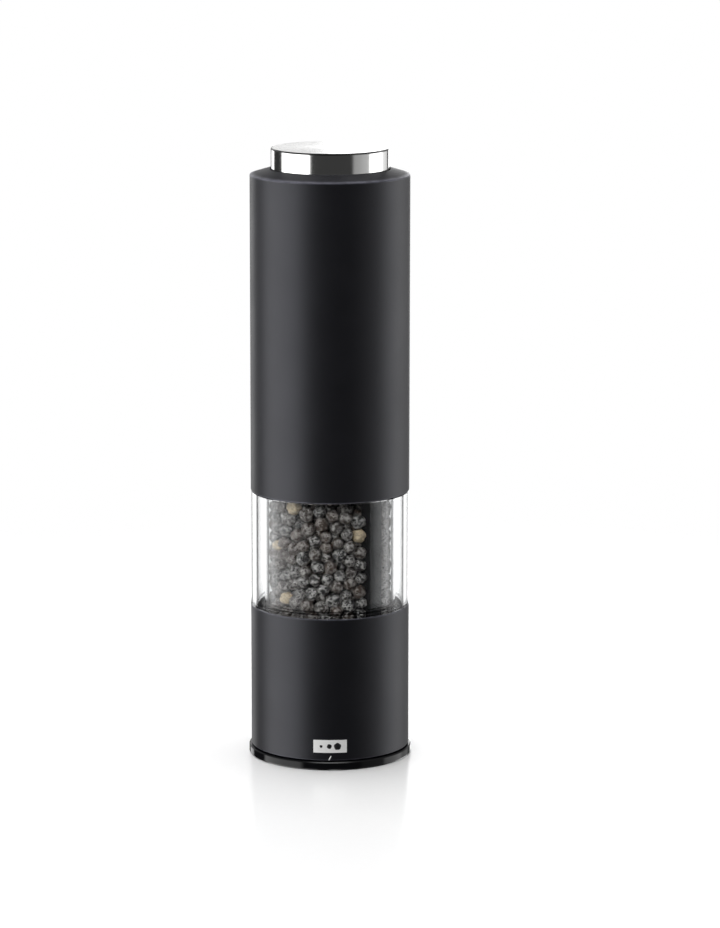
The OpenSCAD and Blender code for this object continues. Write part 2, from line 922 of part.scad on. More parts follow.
module battery_plate_upper() {
    color("#1c1c1e")
        difference() {
            rod(cage_r, cage_top_z, plate_t);
            rod(5.4, cage_top_z - eps, plate_t + 2 * eps);
            around(3, 90)
                translate([(spine_r + spine_in_r) / 2, 0, 0])
                    rod(1, cage_top_z - eps, plate_t + 2 * eps);
        }
}

// One cell with its positive nub at the top
module cell() {
    rod(cell_r, 0, cell_l - nub_h);
    rod(1.9, cell_l - nub_h - eps, nub_h + eps);
}

module battery_cells() {
    color("#c8a030")
        for (i = [0 : cell_count - 1])
            rotate(i * 360 / cell_count)
                translate([cell_pitch_r, 0, cell_z + (i % 2) * cell_l])
                    rotate([(i % 2) * 180, 0, 0])
                        cell();
}

module battery_springs() {
    color("silver")
        for (i = [0 : cell_count - 1])
            rotate(i * 360 / cell_count)
                translate([cell_pitch_r, 0, i % 2 == 0 ? cage_z + plate_t : cage_top_z])
                    rotate([(i % 2) * 180, 0, 0])
                        coil(3.6, 2.2, 0.5, 0, contact_h, 2.5, 14, 6);
}

module battery_contacts() {
    color("gold")
        for (i = [0 : cell_count - 1])
            rotate(i * 360 / cell_count)
                translate([cell_pitch_r, 0, i % 2 == 1 ? cage_z + plate_t : cage_top_z])
                    rotate([(1 - i % 2) * 180, 0, 0]) {
                        rod(4, 0, 0.5);
                        rod(1.6, 0, contact_h);
                    }
}

// A small pan-head screw, head upwards, under a head at z
module pan_screw(z, len, r) {
    difference() {
        union() {
            rod(r, z - len, len + 0.2);
            rod(2 * r, z, 1.1);
        }
        for (b = [0, 90]) rotate(b) translate([-r * 1.3, -0.25, z + 0.5]) cube([r * 2.6, 0.5, 1]);
    }
}

module battery_screws() {
    color("silver") {
        around(3, 90) translate([(spine_r + spine_in_r) / 2, 0, 0]) pan_screw(switch_z, 8, 0.8);
        around(3, 30) translate([chassis_screw_r, 0, 0]) pan_screw(cage_z + plate_t, 8, 1);
    }
}

module switch_body() {
    color("#303438")
        difference() {
            union() {
                translate([-6.4, -6, switch_z]) cube([12.8, 12, 1]);
                translate([-5, -4, switch_z]) cube([10, 8, switch_h]);
            }
            rod(1.6, switch_z + switch_h - button_travel - 1, switch_h);
        }
}

module switch_plunger() {
    color("#c03030")
        rod(1.6 - running, switch_z + switch_h - 0.8, plunger_top_z - switch_z - switch_h + 0.8);
}

// ---------------------------------------------------------------- moving gears

module motor_armature() {
    z = motor_z + (can_h - armature_h) / 2;
    color("#8a8d90")
        difference() {
            union() {
                difference() {
                    tube(armature_r, armature_r - 1.6, z, armature_h);
                    around(3, 60)
                        translate([armature_r - 3, -1.4, z - eps])
                            cube([5, 2.8, armature_h + 2 * eps]);
                }
                around(3) translate([0.5, -1.5, z]) cube([armature_r - 1.3, 3, armature_h]);
                rod(3, z, armature_h);
                rod(motor_shaft_r, planet_one_z + 0.2, motor_z + motor_l - 1.6 - planet_one_z - 0.2);
                rod(2.2, z + armature_h - 0.2, 4);
            }
            around(3, 60) translate([2, -0.15, z + armature_h + 1]) cube([1, 0.3, 4]);
        }
}

module sun_pinion() {
    color("gold")
        difference() {
            spur_gear(sun_teeth, planet_one_z + 0.2, motor_z - planet_one_z - 0.6);
            rod(motor_shaft_r, planet_one_z - eps, 12);
        }
}

// The three pins of a carrier, from z to z + h
module planet_pins(z, h) {
    around(3) translate([orbit_r, 0, 0]) rod(pin_d / 2, z, h);
}

module stage_one_carrier() {
    color("#e4e0d4") {
        difference() {
            union() {
                rod(carrier_r, carrier_one_z, carrier_t);
                spur_gear(sun_teeth, planet_two_z + 0.2, carrier_one_z - planet_two_z);
            }
            planet_pins(carrier_one_z + 0.5, carrier_t);
        }
        planet_pins(carrier_one_z + 0.5, carrier_t - 0.5 + gear_w);
    }
}

module output_carrier() {
    socket_z = unit_z - hub_drop;
    color("#e4e0d4") {
        difference() {
            union() {
                rod(carrier_r, out_z, carrier_t);
                rod(hub_out_r, socket_z, out_z - socket_z + eps);
            }
            translate([0, 0, socket_z - eps])
                cylinder(r = hex_bore_r, h = socket_depth + eps, $fn = 6);
            planet_pins(out_z + 0.5, carrier_t);
        }
        planet_pins(out_z + 0.5, carrier_t - 0.5 + gear_w);
    }
}

// Planet k of a stage, meshing at rest with a sun tooth on +X
module planet(k, z) {
    color("#f0ece0")
        rotate(k * 120)
            translate([orbit_r, 0, 0])
                difference() {
                    rotate(180 / planet_teeth) spur_gear(planet_teeth, z, gear_w);
                    rod(pin_d / 2 + running, z - eps, gear_w + 2 * eps);
                }
}

// ---------------------------------------------------------------- upper sleeve and button

module sleeve_shell() {
    slope = collar_rise / (body_r - 0.35 - collar_in_r);
    color("#26262a")
        rotate_extrude()
            polygon([
                [sleeve_in_r, sleeve_z],
                [body_r - 0.2, sleeve_z],
                [body_r, sleeve_z + 0.2],
                [body_r, collar_z - 0.35],
                [body_r - 0.1, collar_z - 0.1],
                [body_r - 0.35, collar_z],
                [collar_in_r + 0.3, collar_top_z - 0.3 * slope],
                [collar_in_r, collar_top_z - 0.3],
                [collar_in_r, collar_top_z - 1.3],
                [sleeve_in_r, collar_z - 1.2]
            ]);
}

module sleeve_liner() {
    color("#18181a")
        difference() {
            union() {
                tube(frame_r, liner_in_r, liner_z, collar_z - 1.3 - liner_z);
                rod(frame_r - 0.2, deck_z, deck_t);
            }
            rod(stem_r + glide, deck_z - eps, deck_t + 2 * eps);
            around(3, 30)
                translate([leg_r - 1.2, -2.4, deck_z - eps])
                    cube([2.6, 4.8, deck_t + 2 * eps]);
        }
}

module button_cap() {
    color("#c8cacc")
        rotate_extrude()
            polygon([
                [core_r, cap_z],
                [button_r, cap_z],
                [button_r, button_top_z - 0.5],
                [button_r - 0.15, button_top_z - 0.15],
                [button_r - 0.5, button_top_z],
                [0, button_top_z],
                [0, core_top_z],
                [core_r, core_top_z]
            ]);
}

module button_core() {
    hook_z = deck_z - 0.1;
    color("#202022")
        union() {
            rod(core_r, core_top_z - plate_t, plate_t);
            tube(core_r, core_r - 1.5, cap_z + 0.6, core_top_z - cap_z - 0.8);
            rod(stem_r, plunger_top_z, core_top_z - plunger_top_z - 0.5);
            around(3, 30) {
                translate([leg_r - 0.8, -2, hook_z - 1.4]) cube([1.6, 4, core_top_z - hook_z]);
                translate([leg_r - 0.8, -2, hook_z - 1.4]) cube([3.4, 4, 1.4]);
            }
        }
}

module button_spring() {
    color("silver")
        coil(button_spring_r, button_spring_r, 0.9, deck_z + deck_t, core_top_z - plate_t, 5);
}

// ---------------------------------------------------------------- nodes

base_sleeve();
window_tube();
window_seal();
hopper();
funnel();
grinder_carrier();
burr_ring();
shaft_bush();
wire_duct();
lamp_leads();
lamp_board();
lamp_led();
lamp_lens();
contact_pads();
base_screws();
badge();
base_lid();
lid_spigot();
drive_shaft();
shaft_clip();
thrust_washer();
burr_spring();
burr_cone();
adjuster_knob();
adjuster_insert();
unit_chassis();
chassis_seal();
ring_gear();
gearbox_plate();
gearbox_screws();
motor_can();
motor_end_cap();
motor_magnets();
motor_leads();
lamp_feed_leads();
contact_pins();
battery_plate_lower();
battery_spine();
battery_plate_upper();
battery_cells();
battery_springs();
battery_contacts();
battery_screws();
switch_body();
switch_plunger();
motor_armature();
sun_pinion();
stage_one_carrier();
planet(0, planet_one_z);  // stage_one_planet_a
planet(1, planet_one_z);  // stage_one_planet_b
planet(2, planet_one_z);  // stage_one_planet_c
output_carrier();
planet(0, planet_two_z);  // stage_two_planet_a
planet(1, planet_two_z);  // stage_two_planet_b
planet(2, planet_two_z);  // stage_two_planet_c
sleeve_shell();
sleeve_liner();
button_cap();
button_core();
button_spring();
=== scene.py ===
"""Finishes, peppercorns, printed marks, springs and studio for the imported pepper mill, as an add-on."""

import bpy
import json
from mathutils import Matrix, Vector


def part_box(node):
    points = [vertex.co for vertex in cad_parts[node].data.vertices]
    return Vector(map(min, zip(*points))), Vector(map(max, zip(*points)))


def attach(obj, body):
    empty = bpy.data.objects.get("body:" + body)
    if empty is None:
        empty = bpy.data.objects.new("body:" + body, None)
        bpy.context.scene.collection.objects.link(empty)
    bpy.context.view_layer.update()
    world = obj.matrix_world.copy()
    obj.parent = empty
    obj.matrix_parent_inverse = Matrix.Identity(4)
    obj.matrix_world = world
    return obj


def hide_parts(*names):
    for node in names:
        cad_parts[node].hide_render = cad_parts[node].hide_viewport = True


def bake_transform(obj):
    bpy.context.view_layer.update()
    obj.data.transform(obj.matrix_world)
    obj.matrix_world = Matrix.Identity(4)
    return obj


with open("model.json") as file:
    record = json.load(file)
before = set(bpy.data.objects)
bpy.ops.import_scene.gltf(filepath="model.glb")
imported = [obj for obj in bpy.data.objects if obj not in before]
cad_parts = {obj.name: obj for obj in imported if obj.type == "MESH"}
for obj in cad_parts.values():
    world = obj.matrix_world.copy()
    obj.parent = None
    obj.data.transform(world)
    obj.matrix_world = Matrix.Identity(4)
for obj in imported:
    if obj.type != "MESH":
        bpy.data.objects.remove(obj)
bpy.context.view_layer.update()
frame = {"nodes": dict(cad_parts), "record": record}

import json
import math

import bmesh
import bpy
import numpy as np
from bpy.props import FloatProperty, FloatVectorProperty, IntProperty, PointerProperty
from mathutils import Vector, noise

bl_info = {
    "name": "Pepper Mill Finisher",
    "version": (1, 0, 0),
    "blender": (4, 5, 0),
    "location": "View3D > Sidebar > Mill",
    "description": "Finishes, peppercorns, printed marks, springs and studio for a battery pepper mill",
    "category": "Object",
}

NODES = frame["nodes"]
MM = 0.001
SEED = 20


def edge(node, axis, side):
    """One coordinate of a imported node's box at rest; side 0 is low and 1 is high."""
    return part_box(node)[side][axis]


# Heights and radii that the finishes and the new pieces are placed by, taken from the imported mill
SLEEVE_TOP = edge("sleeve_shell", 2, 1)
SLEEVE_FOOT = edge("sleeve_shell", 2, 0)
BASE_TOP = edge("base_sleeve", 2, 1)
BASE_FOOT = edge("base_sleeve", 2, 0)
SLEEVE_R = edge("base_sleeve", 0, 1)
HOPPER_TOP = edge("unit_chassis", 2, 0)
HOPPER_FOOT = edge("hopper", 2, 0)
BUTTON_TOP = edge("button_cap", 2, 1)
BUTTON_R = edge("button_cap", 0, 1)
CELL_LOW = edge("battery_cells", 2, 0)
CELL_HIGH = edge("battery_cells", 2, 1)


def colour(name, default, description):
    """A colour that a user may change."""
    return FloatVectorProperty(
        name=name, default=default, description=description, subtype="COLOR", min=0.0, max=1.0
    )


def length(name, default, description, low=0.0, high=0.05):
    """A length, in metres, that a user may change."""
    return FloatProperty(
        name=name, default=default, description=description, unit="LENGTH", min=low, max=high, precision=5
    )


class MillSizes(bpy.types.PropertyGroup):
    """Sizes a user would change."""

    corn_size: length("Peppercorn size", 4.75 * MM, "Mean diameter of a peppercorn", 2 * MM, 8 * MM)
    corn_spread: FloatProperty(
        name="Size spread", default=0.09, min=0.0, max=0.3, description="How much their sizes differ"
    )
    corn_count: IntProperty(
        name="Peppercorns", default=1370, min=50, max=1600, description="How many are dropped in"
    )
    fill_gap: length("Gap over the fill", 0.7 * MM, "Room between peppercorns and power unit")
    wrinkle: length("Wrinkle height", 0.34 * MM, "Height of the ridges on a peppercorn", 0.0, 1 * MM)
    dot_gap: length("Dot spacing", 2.9 * MM, "Distance between the dots on the badge")
    print_rise: length("Print thickness", 0.04 * MM, "How far printed marks stand proud")
    tick_length: length("Mark length", 1.5 * MM, "Length of the alignment mark")


class MillColours(bpy.types.PropertyGroup):
    """Colours a user would change."""

    sleeve: colour("Sleeves", (0.0085, 0.0085, 0.0105), "Soft-touch skin of both sleeves")
    lid: colour("Base lid", (0.006, 0.006, 0.007), "High-gloss base lid")
    steel: colour("Press-top", (0.82, 0.82, 0.81), "Spun steel press-top")
    corn_dark: colour("Dark peppercorn", (0.016, 0.015, 0.015), "Valleys of a peppercorn")
    # The ridge colour is partly the ridges' own tone and partly a painted highlight.
    corn_ridge_and_highlight: colour("Ridge of a peppercorn", (0.40, 0.385, 0.37), "Ridges of a peppercorn, lighter in part as a painted highlight")
    corn_tan: colour("Pale peppercorn", (0.46, 0.37, 0.25), "The few pale ones")
    ceramic: colour("Ceramic", (0.80, 0.77, 0.70), "Fired ceramic of the burr")
    nylon: colour("Gears", (0.80, 0.77, 0.68), "Natural nylon of the gears")
    jacket: colour("Cell jacket", (0.60, 0.27, 0.07), "Copper band of a cell's jacket")


def sizes():
    """The sizes set in the panel."""
    return bpy.context.scene.mill_sizes


def colours():
    """The colours set in the panel."""
    return bpy.context.scene.mill_colours


# ------------------------------------------------------------------ node helpers


class Net:
    """A node tree that is built in short lines."""

    def __init__(self, tree):
        self.tree = tree

    def add(self, kind, inputs=None, **props):
        """A new node, with its inputs set to values or fed from sockets."""
        made = self.tree.nodes.new(kind)
        for name, value in props.items():
            setattr(made, name, value)
        for name, value in (inputs or {}).items():
            socket = made.inputs[name]
            if isinstance(value, bpy.types.NodeSocket):
                self.tree.links.new(value, socket)
            else:
                socket.default_value = value
        return made

    def math(self, operation, *values, clamp=False):
        """Result of a Math node."""
        inputs = dict(enumerate(values))
        return self.add("ShaderNodeMath", inputs, operation=operation, use_clamp=clamp).outputs[0]

    def ramp(self, value, low, high, out_low=0.0, out_high=1.0, smooth=False):
        """A value led from one range to another, and held at the ends."""
        kind = "SMOOTHSTEP" if smooth else "LINEAR"
        names = {"Value": value, "From Min": low, "From Max": high, "To Min": out_low, "To Max": out_high}
        return self.add("ShaderNodeMapRange", names, interpolation_type=kind).outputs[0]

    def mix(self, factor, first, second):
        """A colour between two colours."""
        made = self.tree.nodes.new("ShaderNodeMix")
        made.data_type = "RGBA"
        for index, value in ((0, factor), (6, first), (7, second)):
            if isinstance(value, bpy.types.NodeSocket):
                self.tree.links.new(value, made.inputs[index])
            elif index:
                made.inputs[index].default_value = (*value[:3], 1.0)
            else:
                made.inputs[index].default_value = value
        return made.outputs[2]

    def place(self):
        """The point's place on the mill, whole and as separate X, Y and Z."""
        point = self.add("ShaderNodeTexCoord").outputs["Object"]
        return point, self.add("ShaderNodeSeparateXYZ", {0: point}).outputs

    def from_axis(self, x, y):
        """Distance from the mill's axis."""
        squares = self.math("ADD", self.math("MULTIPLY", x, x), self.math("MULTIPLY", y, y))
        return self.math("SQRT", squares)

    def noise(self, point, scale, detail=2.0):
        """Value of an even noise at a point, with a scale in cells a metre."""
        inputs = {"Vector": point, "Scale": scale, "Detail": detail}
        return self.add("ShaderNodeTexNoise", inputs).outputs[0]

    def group(self, name, **values):
        """Outputs of a shader node group, with its own values."""
        made = self.tree.nodes.new("ShaderNodeGroup")
        made.node_tree = bpy.data.node_groups[name]
        for key, value in values.items():
            socket = made.inputs[key.replace("_", " ")]
            if isinstance(value, bpy.types.NodeSocket):
                self.tree.links.new(value, socket)
            else:
                socket.default_value = (*value[:3], 1.0) if isinstance(value, tuple) else value
        return made.outputs


def new_group(name, inputs, outputs):
    """An empty shader node group; inputs and outputs map names to (kind, default)."""
    tree = bpy.data.node_groups.new(name, "ShaderNodeTree")
    for key, (kind, default) in inputs.items():
        socket = tree.interface.new_socket(key, in_out="INPUT", socket_type="NodeSocket" + kind)
        socket.default_value = default
    for key, kind in outputs.items():
        tree.interface.new_socket(key, in_out="OUTPUT", socket_type="NodeSocket" + kind)
    net = Net(tree)
    return net, net.add("NodeGroupInput").outputs, net.add("NodeGroupOutput").inputs


def grain_group():
    """Fine moulded or cast grain: an even speckle for roughness and a bump."""
    net, given, out = new_group(
        "Fine Grain",
        {
            "Scale": ("Float", 3000.0),
            "Low": ("Float", 0.4),
            "High": ("Float", 0.5),
            "Height": ("Float", 1e-5),
        },
        {"Value": "Float", "Roughness": "Float", "Normal": "Vector"},
    )
    point, _ = net.place()
    speck = net.noise(point, given["Scale"], 3.0)
    cloud = net.noise(point, 45.0)
    blend = net.math("ADD", net.math("MULTIPLY", speck, 0.6), net.math("MULTIPLY", cloud, 0.4))
    rough = net.ramp(blend, 0.35, 0.65, given["Low"], given["High"])
    bump = net.add("ShaderNodeBump", {"Height": speck, "Distance": given["Height"], "Strength": 1.0})
    net.tree.links.new(blend, out["Value"])
    net.tree.links.new(rough, out["Roughness"])
    net.tree.links.new(bump.outputs[0], out["Normal"])


def turned_group():
    """Lathe lines round the mill's axis: rings on a flat face and fine lines round a side."""
    net, given, out = new_group(
        "Turned Lines",
        {
            "Scale": ("Float", 9000.0),
            "Low": ("Float", 0.1),
            "High": ("Float", 0.2),
            "Height": ("Float", 1e-6),
        },
        {"Value": "Float", "Roughness": "Float", "Normal": "Vector"},
    )
    point, (x, y, z) = net.place()
    across = {"W": net.math("ADD", net.from_axis(x, y), z), "Scale": given["Scale"], "Detail": 2.0}
    lines = net.add("ShaderNodeTexNoise", across, noise_dimensions="1D").outputs[0]
    smear = net.noise(point, 90.0, 3.0)
    blend = net.math("ADD", net.math("MULTIPLY", lines, 0.7), net.math("MULTIPLY", smear, 0.3))
    bump = net.add("ShaderNodeBump", {"Height": lines, "Distance": given["Height"], "Strength": 1.0})
    net.tree.links.new(blend, out["Value"])
    net.tree.links.new(net.ramp(blend, 0.35, 0.65, given["Low"], given["High"]), out["Roughness"])
    net.tree.links.new(bump.outputs[0], out["Normal"])


def mottle_group():
    """Slow drift between two close colours."""
    net, given, out = new_group(
        "Mottle",
        {"Dark": ("Color", (0, 0, 0, 1)), "Light": ("Color", (1, 1, 1, 1)), "Scale": ("Float", 200.0)},
        {"Color": "Color"},
    )
    point, _ = net.place()
    cloud = net.noise(point, given["Scale"], 4.0)
    shade = net.mix(net.ramp(cloud, 0.3, 0.7), given["Dark"], given["Light"])
    net.tree.links.new(shade, out["Color"])


def worn_edge_and_highlight_group():
    """A soft mask round two heights, where hands and seams wear a skin smooth and where a highlight line is
    painted on it.
    """
    net, given, out = new_group(
        "Worn Edge And Highlight",
        {"Upper": ("Float", 0.2), "Lower": ("Float", 0.1), "Width": ("Float", 0.001)},
        {"Mask": "Float"},
    )
    point, (_, _, z) = net.place()
    near = net.math(
        "MINIMUM",
        net.math("ABSOLUTE", net.math("SUBTRACT", z, given["Upper"])),
        net.math("ABSOLUTE", net.math("SUBTRACT", z, given["Lower"])),
    )
    fade = net.math("SUBTRACT", 1.0, net.math("DIVIDE", near, given["Width"]), clamp=True)
    patch = net.noise(point, 260.0, 3.0)
    net.tree.links.new(net.math("MULTIPLY", fade, net.ramp(patch, 0.3, 0.7, 0.4, 1.0)), out["Mask"])


def build_groups():
    """Every shader node group, built once."""
    for make in (grain_group, turned_group, mottle_group, worn_edge_and_highlight_group):
        make()


def material(name, **sockets):
    """A new material, its net and its Principled shader, with plain values set on the shader."""
    made = bpy.data.materials.new(name)
    made.use_nodes = True
    net = Net(made.node_tree)
    shader = made.node_tree.nodes["Principled BSDF"]
    for key, value in sockets.items():
        socket = shader.inputs[key.replace("_", " ")]
        socket.default_value = (*value[:3], 1.0) if isinstance(value, tuple) else value
    return made, net, shader


def wire(net, shader, **links):
    """Feeds the shader's sockets, named by keyword, from node outputs."""
    for key, output in links.items():
        net.tree.links.new(output, shader.inputs[key.replace("_", " ")])


def darker(shade, share):
    """A share of a colour's brightness."""
    return tuple(c * share for c in shade[:3])


def moulded(name, shade, low, high, scale=2600.0, height=4e-6, vary=0.8, **sockets):
    """Moulded plastic, rubber or ceramic: mottled colour, speckled roughness and a fine bump."""
    made, net, shader = material(name, **sockets)
    grain = net.group("Fine Grain", Scale=scale, Low=low, High=high, Height=height)
    tone = net.group("Mottle", Dark=darker(shade, vary), Light=tuple(shade[:3]), Scale=180.0)
    wire(net, shader, Base_Color=tone["Color"], Roughness=grain["Roughness"], Normal=grain["Normal"])
    return made


def turned(name, shade, low, high, scale=9000.0, height=1e-6, vary=0.85, **sockets):
    """Turned, drawn or spun metal."""
    made, net, shader = material(name, Metallic=1.0, **sockets)
    lines = net.group("Turned Lines", Scale=scale, Low=low, High=high, Height=height)
    tone = net.mix(lines["Value"], darker(shade, vary), tuple(shade[:3]))
    wire(net, shader, Base_Color=tone, Roughness=lines["Roughness"], Normal=lines["Normal"])
    return made


WORN_AND_HIGHLIGHT_WIDTH = 0.55 * MM  # how far from an edge the sleeves' skin is worn smoother and painted with a highlight
EDGE_HIGHLIGHT_GAIN = 14  # how many times brighter the painted highlight makes the skin at its edges


def soft_touch(name, upper, lower):
    """Rubbery soft-touch skin, worn smoother along its edges at the two heights, with a painted highlight
    line there.
    """
    shade = tuple(colours().sleeve)
    made, net, shader = material(name, IOR=1.45, Specular_Tint=(0.91, 0.92, 1.0))
    grain = net.group("Fine Grain", Scale=5200.0, Low=0.40, High=0.47, Height=5e-6)
    worn_and_highlight = net.group("Worn Edge And Highlight", Upper=upper, Lower=lower, Width=WORN_AND_HIGHLIGHT_WIDTH)["Mask"]
    tone = net.group("Mottle", Dark=darker(shade, 0.82), Light=shade, Scale=120.0)
    rough = net.math("SUBTRACT", grain["Roughness"], net.math("MULTIPLY", worn_and_highlight, 0.2))
    # Painted highlight: along the edges the skin's colour is made many times brighter.
    edge_highlight_colour = tuple(min(1.0, EDGE_HIGHLIGHT_GAIN * c) for c in shade)
    highlighted = net.mix(net.math("MULTIPLY", worn_and_highlight, 0.9), tone["Color"], edge_highlight_colour)
    wire(net, shader, Base_Color=highlighted, Roughness=rough, Normal=grain["Normal"])
    return made


PAINTED_EDGE_SHADE_SPAN = ((0.75 * MM, 0.45 * MM), (0.55 * MM, 0.35 * MM))  # where the painted dark reflection on the press-top's rounded edge starts and is full: down, in


def spun_steel():
    """Press-top: rings on its face, fine lines round its side, and a painted dark reflection on the rounded
    edge between them.
    """
    made, net, shader = material("Spun Steel", Metallic=1.0, Anisotropic=0.6, Anisotropic_Rotation=0.25)
    lines = net.group("Turned Lines", Scale=5200.0, Low=0.09, High=0.17, Height=1.5e-6)
    shade = tuple(colours().steel)
    _, (x, y, z) = net.place()
    down, inwards = PAINTED_EDGE_SHADE_SPAN
    top = net.ramp(z, BUTTON_TOP - down[0], BUTTON_TOP - down[1])
    side = net.ramp(net.from_axis(x, y), BUTTON_R - inwards[0], BUTTON_R - inwards[1])
    painted_edge_shade = net.math("MULTIPLY", top, side)
    tone = net.mix(lines["Value"], darker(shade, 0.86), shade)
    # Painted reflection: the rounded edge is coloured near-black, standing for the dark room it mirrors.
    tone = net.mix(net.math("MULTIPLY", painted_edge_shade, 0.85), tone, darker(shade, 0.05))
    tangent = net.add("ShaderNodeTangent", direction_type="RADIAL", axis="Z")
    wire(net, shader, Base_Color=tone, Roughness=lines["Roughness"], Normal=lines["Normal"])
    wire(net, shader, Tangent=tangent.outputs[0])
    return made


PAINTED_SHADE_LINES = (0.5 * MM, 1.55 * MM)  # heights of two painted dark shade lines, at the edges of the window's foot bead above the lower sleeve
PAINTED_SHADE_HALF_WIDTH = 0.09 * MM  # half the width of each painted shade line


def clear_acrylic():
    """Polished clear acrylic with an anti-glare coat, which lets lamplight through to the fill, and two
    painted dark shade lines at the foot bead's edges.
    """
    made, net, shader = material(
        "Clear Acrylic",
        Transmission_Weight=1.0,
        IOR=1.49,
        Specular_Tint=(0.07, 0.07, 0.07),
    )
    grain = net.group("Fine Grain", Scale=900.0, Low=0.0, High=0.006, Height=5e-8)
    _, (_, _, z) = net.place()
    # Painted shade: two thin near-black bands stand for the lines at the foot bead's edges.
    lines = [net.math("COMPARE", z, BASE_TOP + rise, PAINTED_SHADE_HALF_WIDTH) for rise in PAINTED_SHADE_LINES]
    foot = net.math("MAXIMUM", *lines)
    tone = net.mix(foot, (0.985, 0.99, 0.992), (0.05, 0.05, 0.055))
    wire(net, shader, Base_Color=tone, Roughness=grain["Roughness"], Normal=grain["Normal"])
    lamp = net.add("ShaderNodeLightPath").outputs["Is Shadow Ray"]
    through = net.add("ShaderNodeBsdfTransparent", {"Color": (0.96, 0.97, 0.97, 1.0)})
    both = net.add("ShaderNodeMixShader", {0: lamp, 1: shader.outputs[0], 2: through.outputs[0]})
    net.tree.links.new(both.outputs[0], net.tree.nodes["Material Output"].inputs["Surface"])
    return made


CELLS = 6
BAND_FROM = 0.70  # where a cell's copper band starts, as a share of its length
BAND_LINE = (0.68, 0.006)  # the pale line before it, and half the line's width


def cell_jacket():
    """Cells: a black jacket with a copper band at the positive end, and bare steel ends."""
    made, net, shader = material("Cell Jacket", Coat_Weight=0.3)
    _, (x, y, z) = net.place()
    turn = net.math("MULTIPLY", net.math("ARCTAN2", y, x), CELLS / (2 * math.pi))
    odd = net.math("ABSOLUTE", net.math("MODULO", net.math("ROUND", turn), 2.0))
    height = net.ramp(z, CELL_LOW, CELL_HIGH)
    flipped = net.math("ABSOLUTE", net.math("SUBTRACT", height, odd))
    band = net.ramp(flipped, BAND_FROM, BAND_FROM + 0.005)
    line = net.math("COMPARE", flipped, *BAND_LINE)
    normal = net.add("ShaderNodeNewGeometry").outputs["Normal"]
    up = net.add("ShaderNodeSeparateXYZ", {0: normal}).outputs[2]
    end = net.math("GREATER_THAN", net.math("ABSOLUTE", up), 0.6)
    body = net.mix(band, (0.012, 0.012, 0.014), tuple(colours().jacket))
    lined = net.mix(line, body, (0.75, 0.72, 0.66))
    wire(net, shader, Base_Color=net.mix(end, lined, (0.62, 0.62, 0.60)))
    wire(net, shader, Metallic=net.math("MAXIMUM", end, net.math("MULTIPLY", band, 0.7)))
    grain = net.group("Fine Grain", Scale=1800.0, Low=0.22, High=0.34, Height=1e-6)
    wire(net, shader, Roughness=grain["Roughness"], Normal=grain["Normal"])
    return made


CREASE_BEND = 0.3 * MM  # how far the fine creases stray from straight
CREASE_DEPTH = 0.12 * MM


def peppercorn_skin():
    """Dried peppercorn: dark valleys, ridges made lighter partly by their own tone and partly as a painted
    highlight, and a pale tone where the piece's shade says so.
    """
    made, net, shader = material("Peppercorn Skin", IOR=1.42)
    shade = net.add("ShaderNodeAttribute", attribute_name="shade").outputs["Color"]
    ridge, pale, tint = net.add("ShaderNodeSeparateColor", {0: shade}).outputs
    point, _ = net.place()
    speckle = net.add("ShaderNodeTexNoise", {"Vector": point, "Scale": 1500.0, "Detail": 5.0}).outputs
    fine = speckle[0]
    bend = (CREASE_BEND, CREASE_BEND, CREASE_BEND)
    bent = net.add("ShaderNodeVectorMath", {0: speckle["Color"], 1: bend}, operation="MULTIPLY")
    warped = net.add("ShaderNodeVectorMath", {0: point, 1: bent.outputs[0]}, operation="ADD").outputs[0]
    cells = net.add("ShaderNodeTexVoronoi", {"Vector": warped, "Scale": 900.0})
    cells.feature = "DISTANCE_TO_EDGE"
    crease = net.ramp(cells.outputs["Distance"], 0.03, 0.15, 1.0, 0.0, smooth=True)
    patchy = net.ramp(net.noise(point, 420.0), 0.42, 0.62)
    creased = net.math("MULTIPLY", crease, patchy)
    # The lighter ridges are partly their own tone and partly a painted highlight.
    ridges_with_highlight = net.math("MAXIMUM", net.math("MULTIPLY", ridge, 0.8), creased)
    uneven = net.math("MULTIPLY", net.math("SUBTRACT", fine, 0.5), 0.5)
    crest = net.ramp(net.math("ADD", ridges_with_highlight, uneven), 0.3, 1.0)
    dark = tuple(colours().corn_dark)
    light = tuple(colours().corn_ridge_and_highlight)
    tan = tuple(colours().corn_tan)
    grey = net.mix(crest, dark, light)
    brown = net.mix(net.math("MULTIPLY", tint, 0.55), grey, (0.055, 0.030, 0.018))
    fawn = net.mix(net.ramp(net.math("ADD", crest, fine), 0.3, 1.0), darker(tan, 0.42), tan)
    wire(net, shader, Base_Color=net.mix(pale, brown, fawn))
    wire(net, shader, Roughness=net.ramp(crest, 0.0, 1.0, 0.32, 0.6))
    height = net.math("ADD", net.math("MULTIPLY", fine, 0.4), creased)
    bump = net.add("ShaderNodeBump", {"Height": height, "Distance": CREASE_DEPTH, "Strength": 1.0})
    wire(net, shader, Normal=bump.outputs[0])
    return made


# Colours of the pieces inside, which a user hardly ever changes
SEAL_BLACK = (0.018, 0.018, 0.018)
FRAME_BLACK = (0.018, 0.018, 0.020)
DUCT_BLACK = (0.006, 0.006, 0.007)
LEAD_RED = (0.50, 0.03, 0.02)
LEAD_YELLOW = (0.72, 0.52, 0.05)
BOARD_GREEN = (0.02, 0.17, 0.07)
GOLD = (0.86, 0.66, 0.30)
BRASS = (0.75, 0.53, 0.22)
STEEL = (0.70, 0.70, 0.69)
SHAFT_STEEL = (0.60, 0.60, 0.60)
ZINC = (0.62, 0.63, 0.65)
PRINT_WHITE = (0.86, 0.86, 0.85)
PRINT_BLACK = (0.012, 0.012, 0.013)
KNOB_WHITE = (0.78, 0.78, 0.76)
FERRITE = (0.035, 0.035, 0.038)
SWITCH_GREY = (0.11, 0.12, 0.13)
SWITCH_RED = (0.50, 0.04, 0.03)


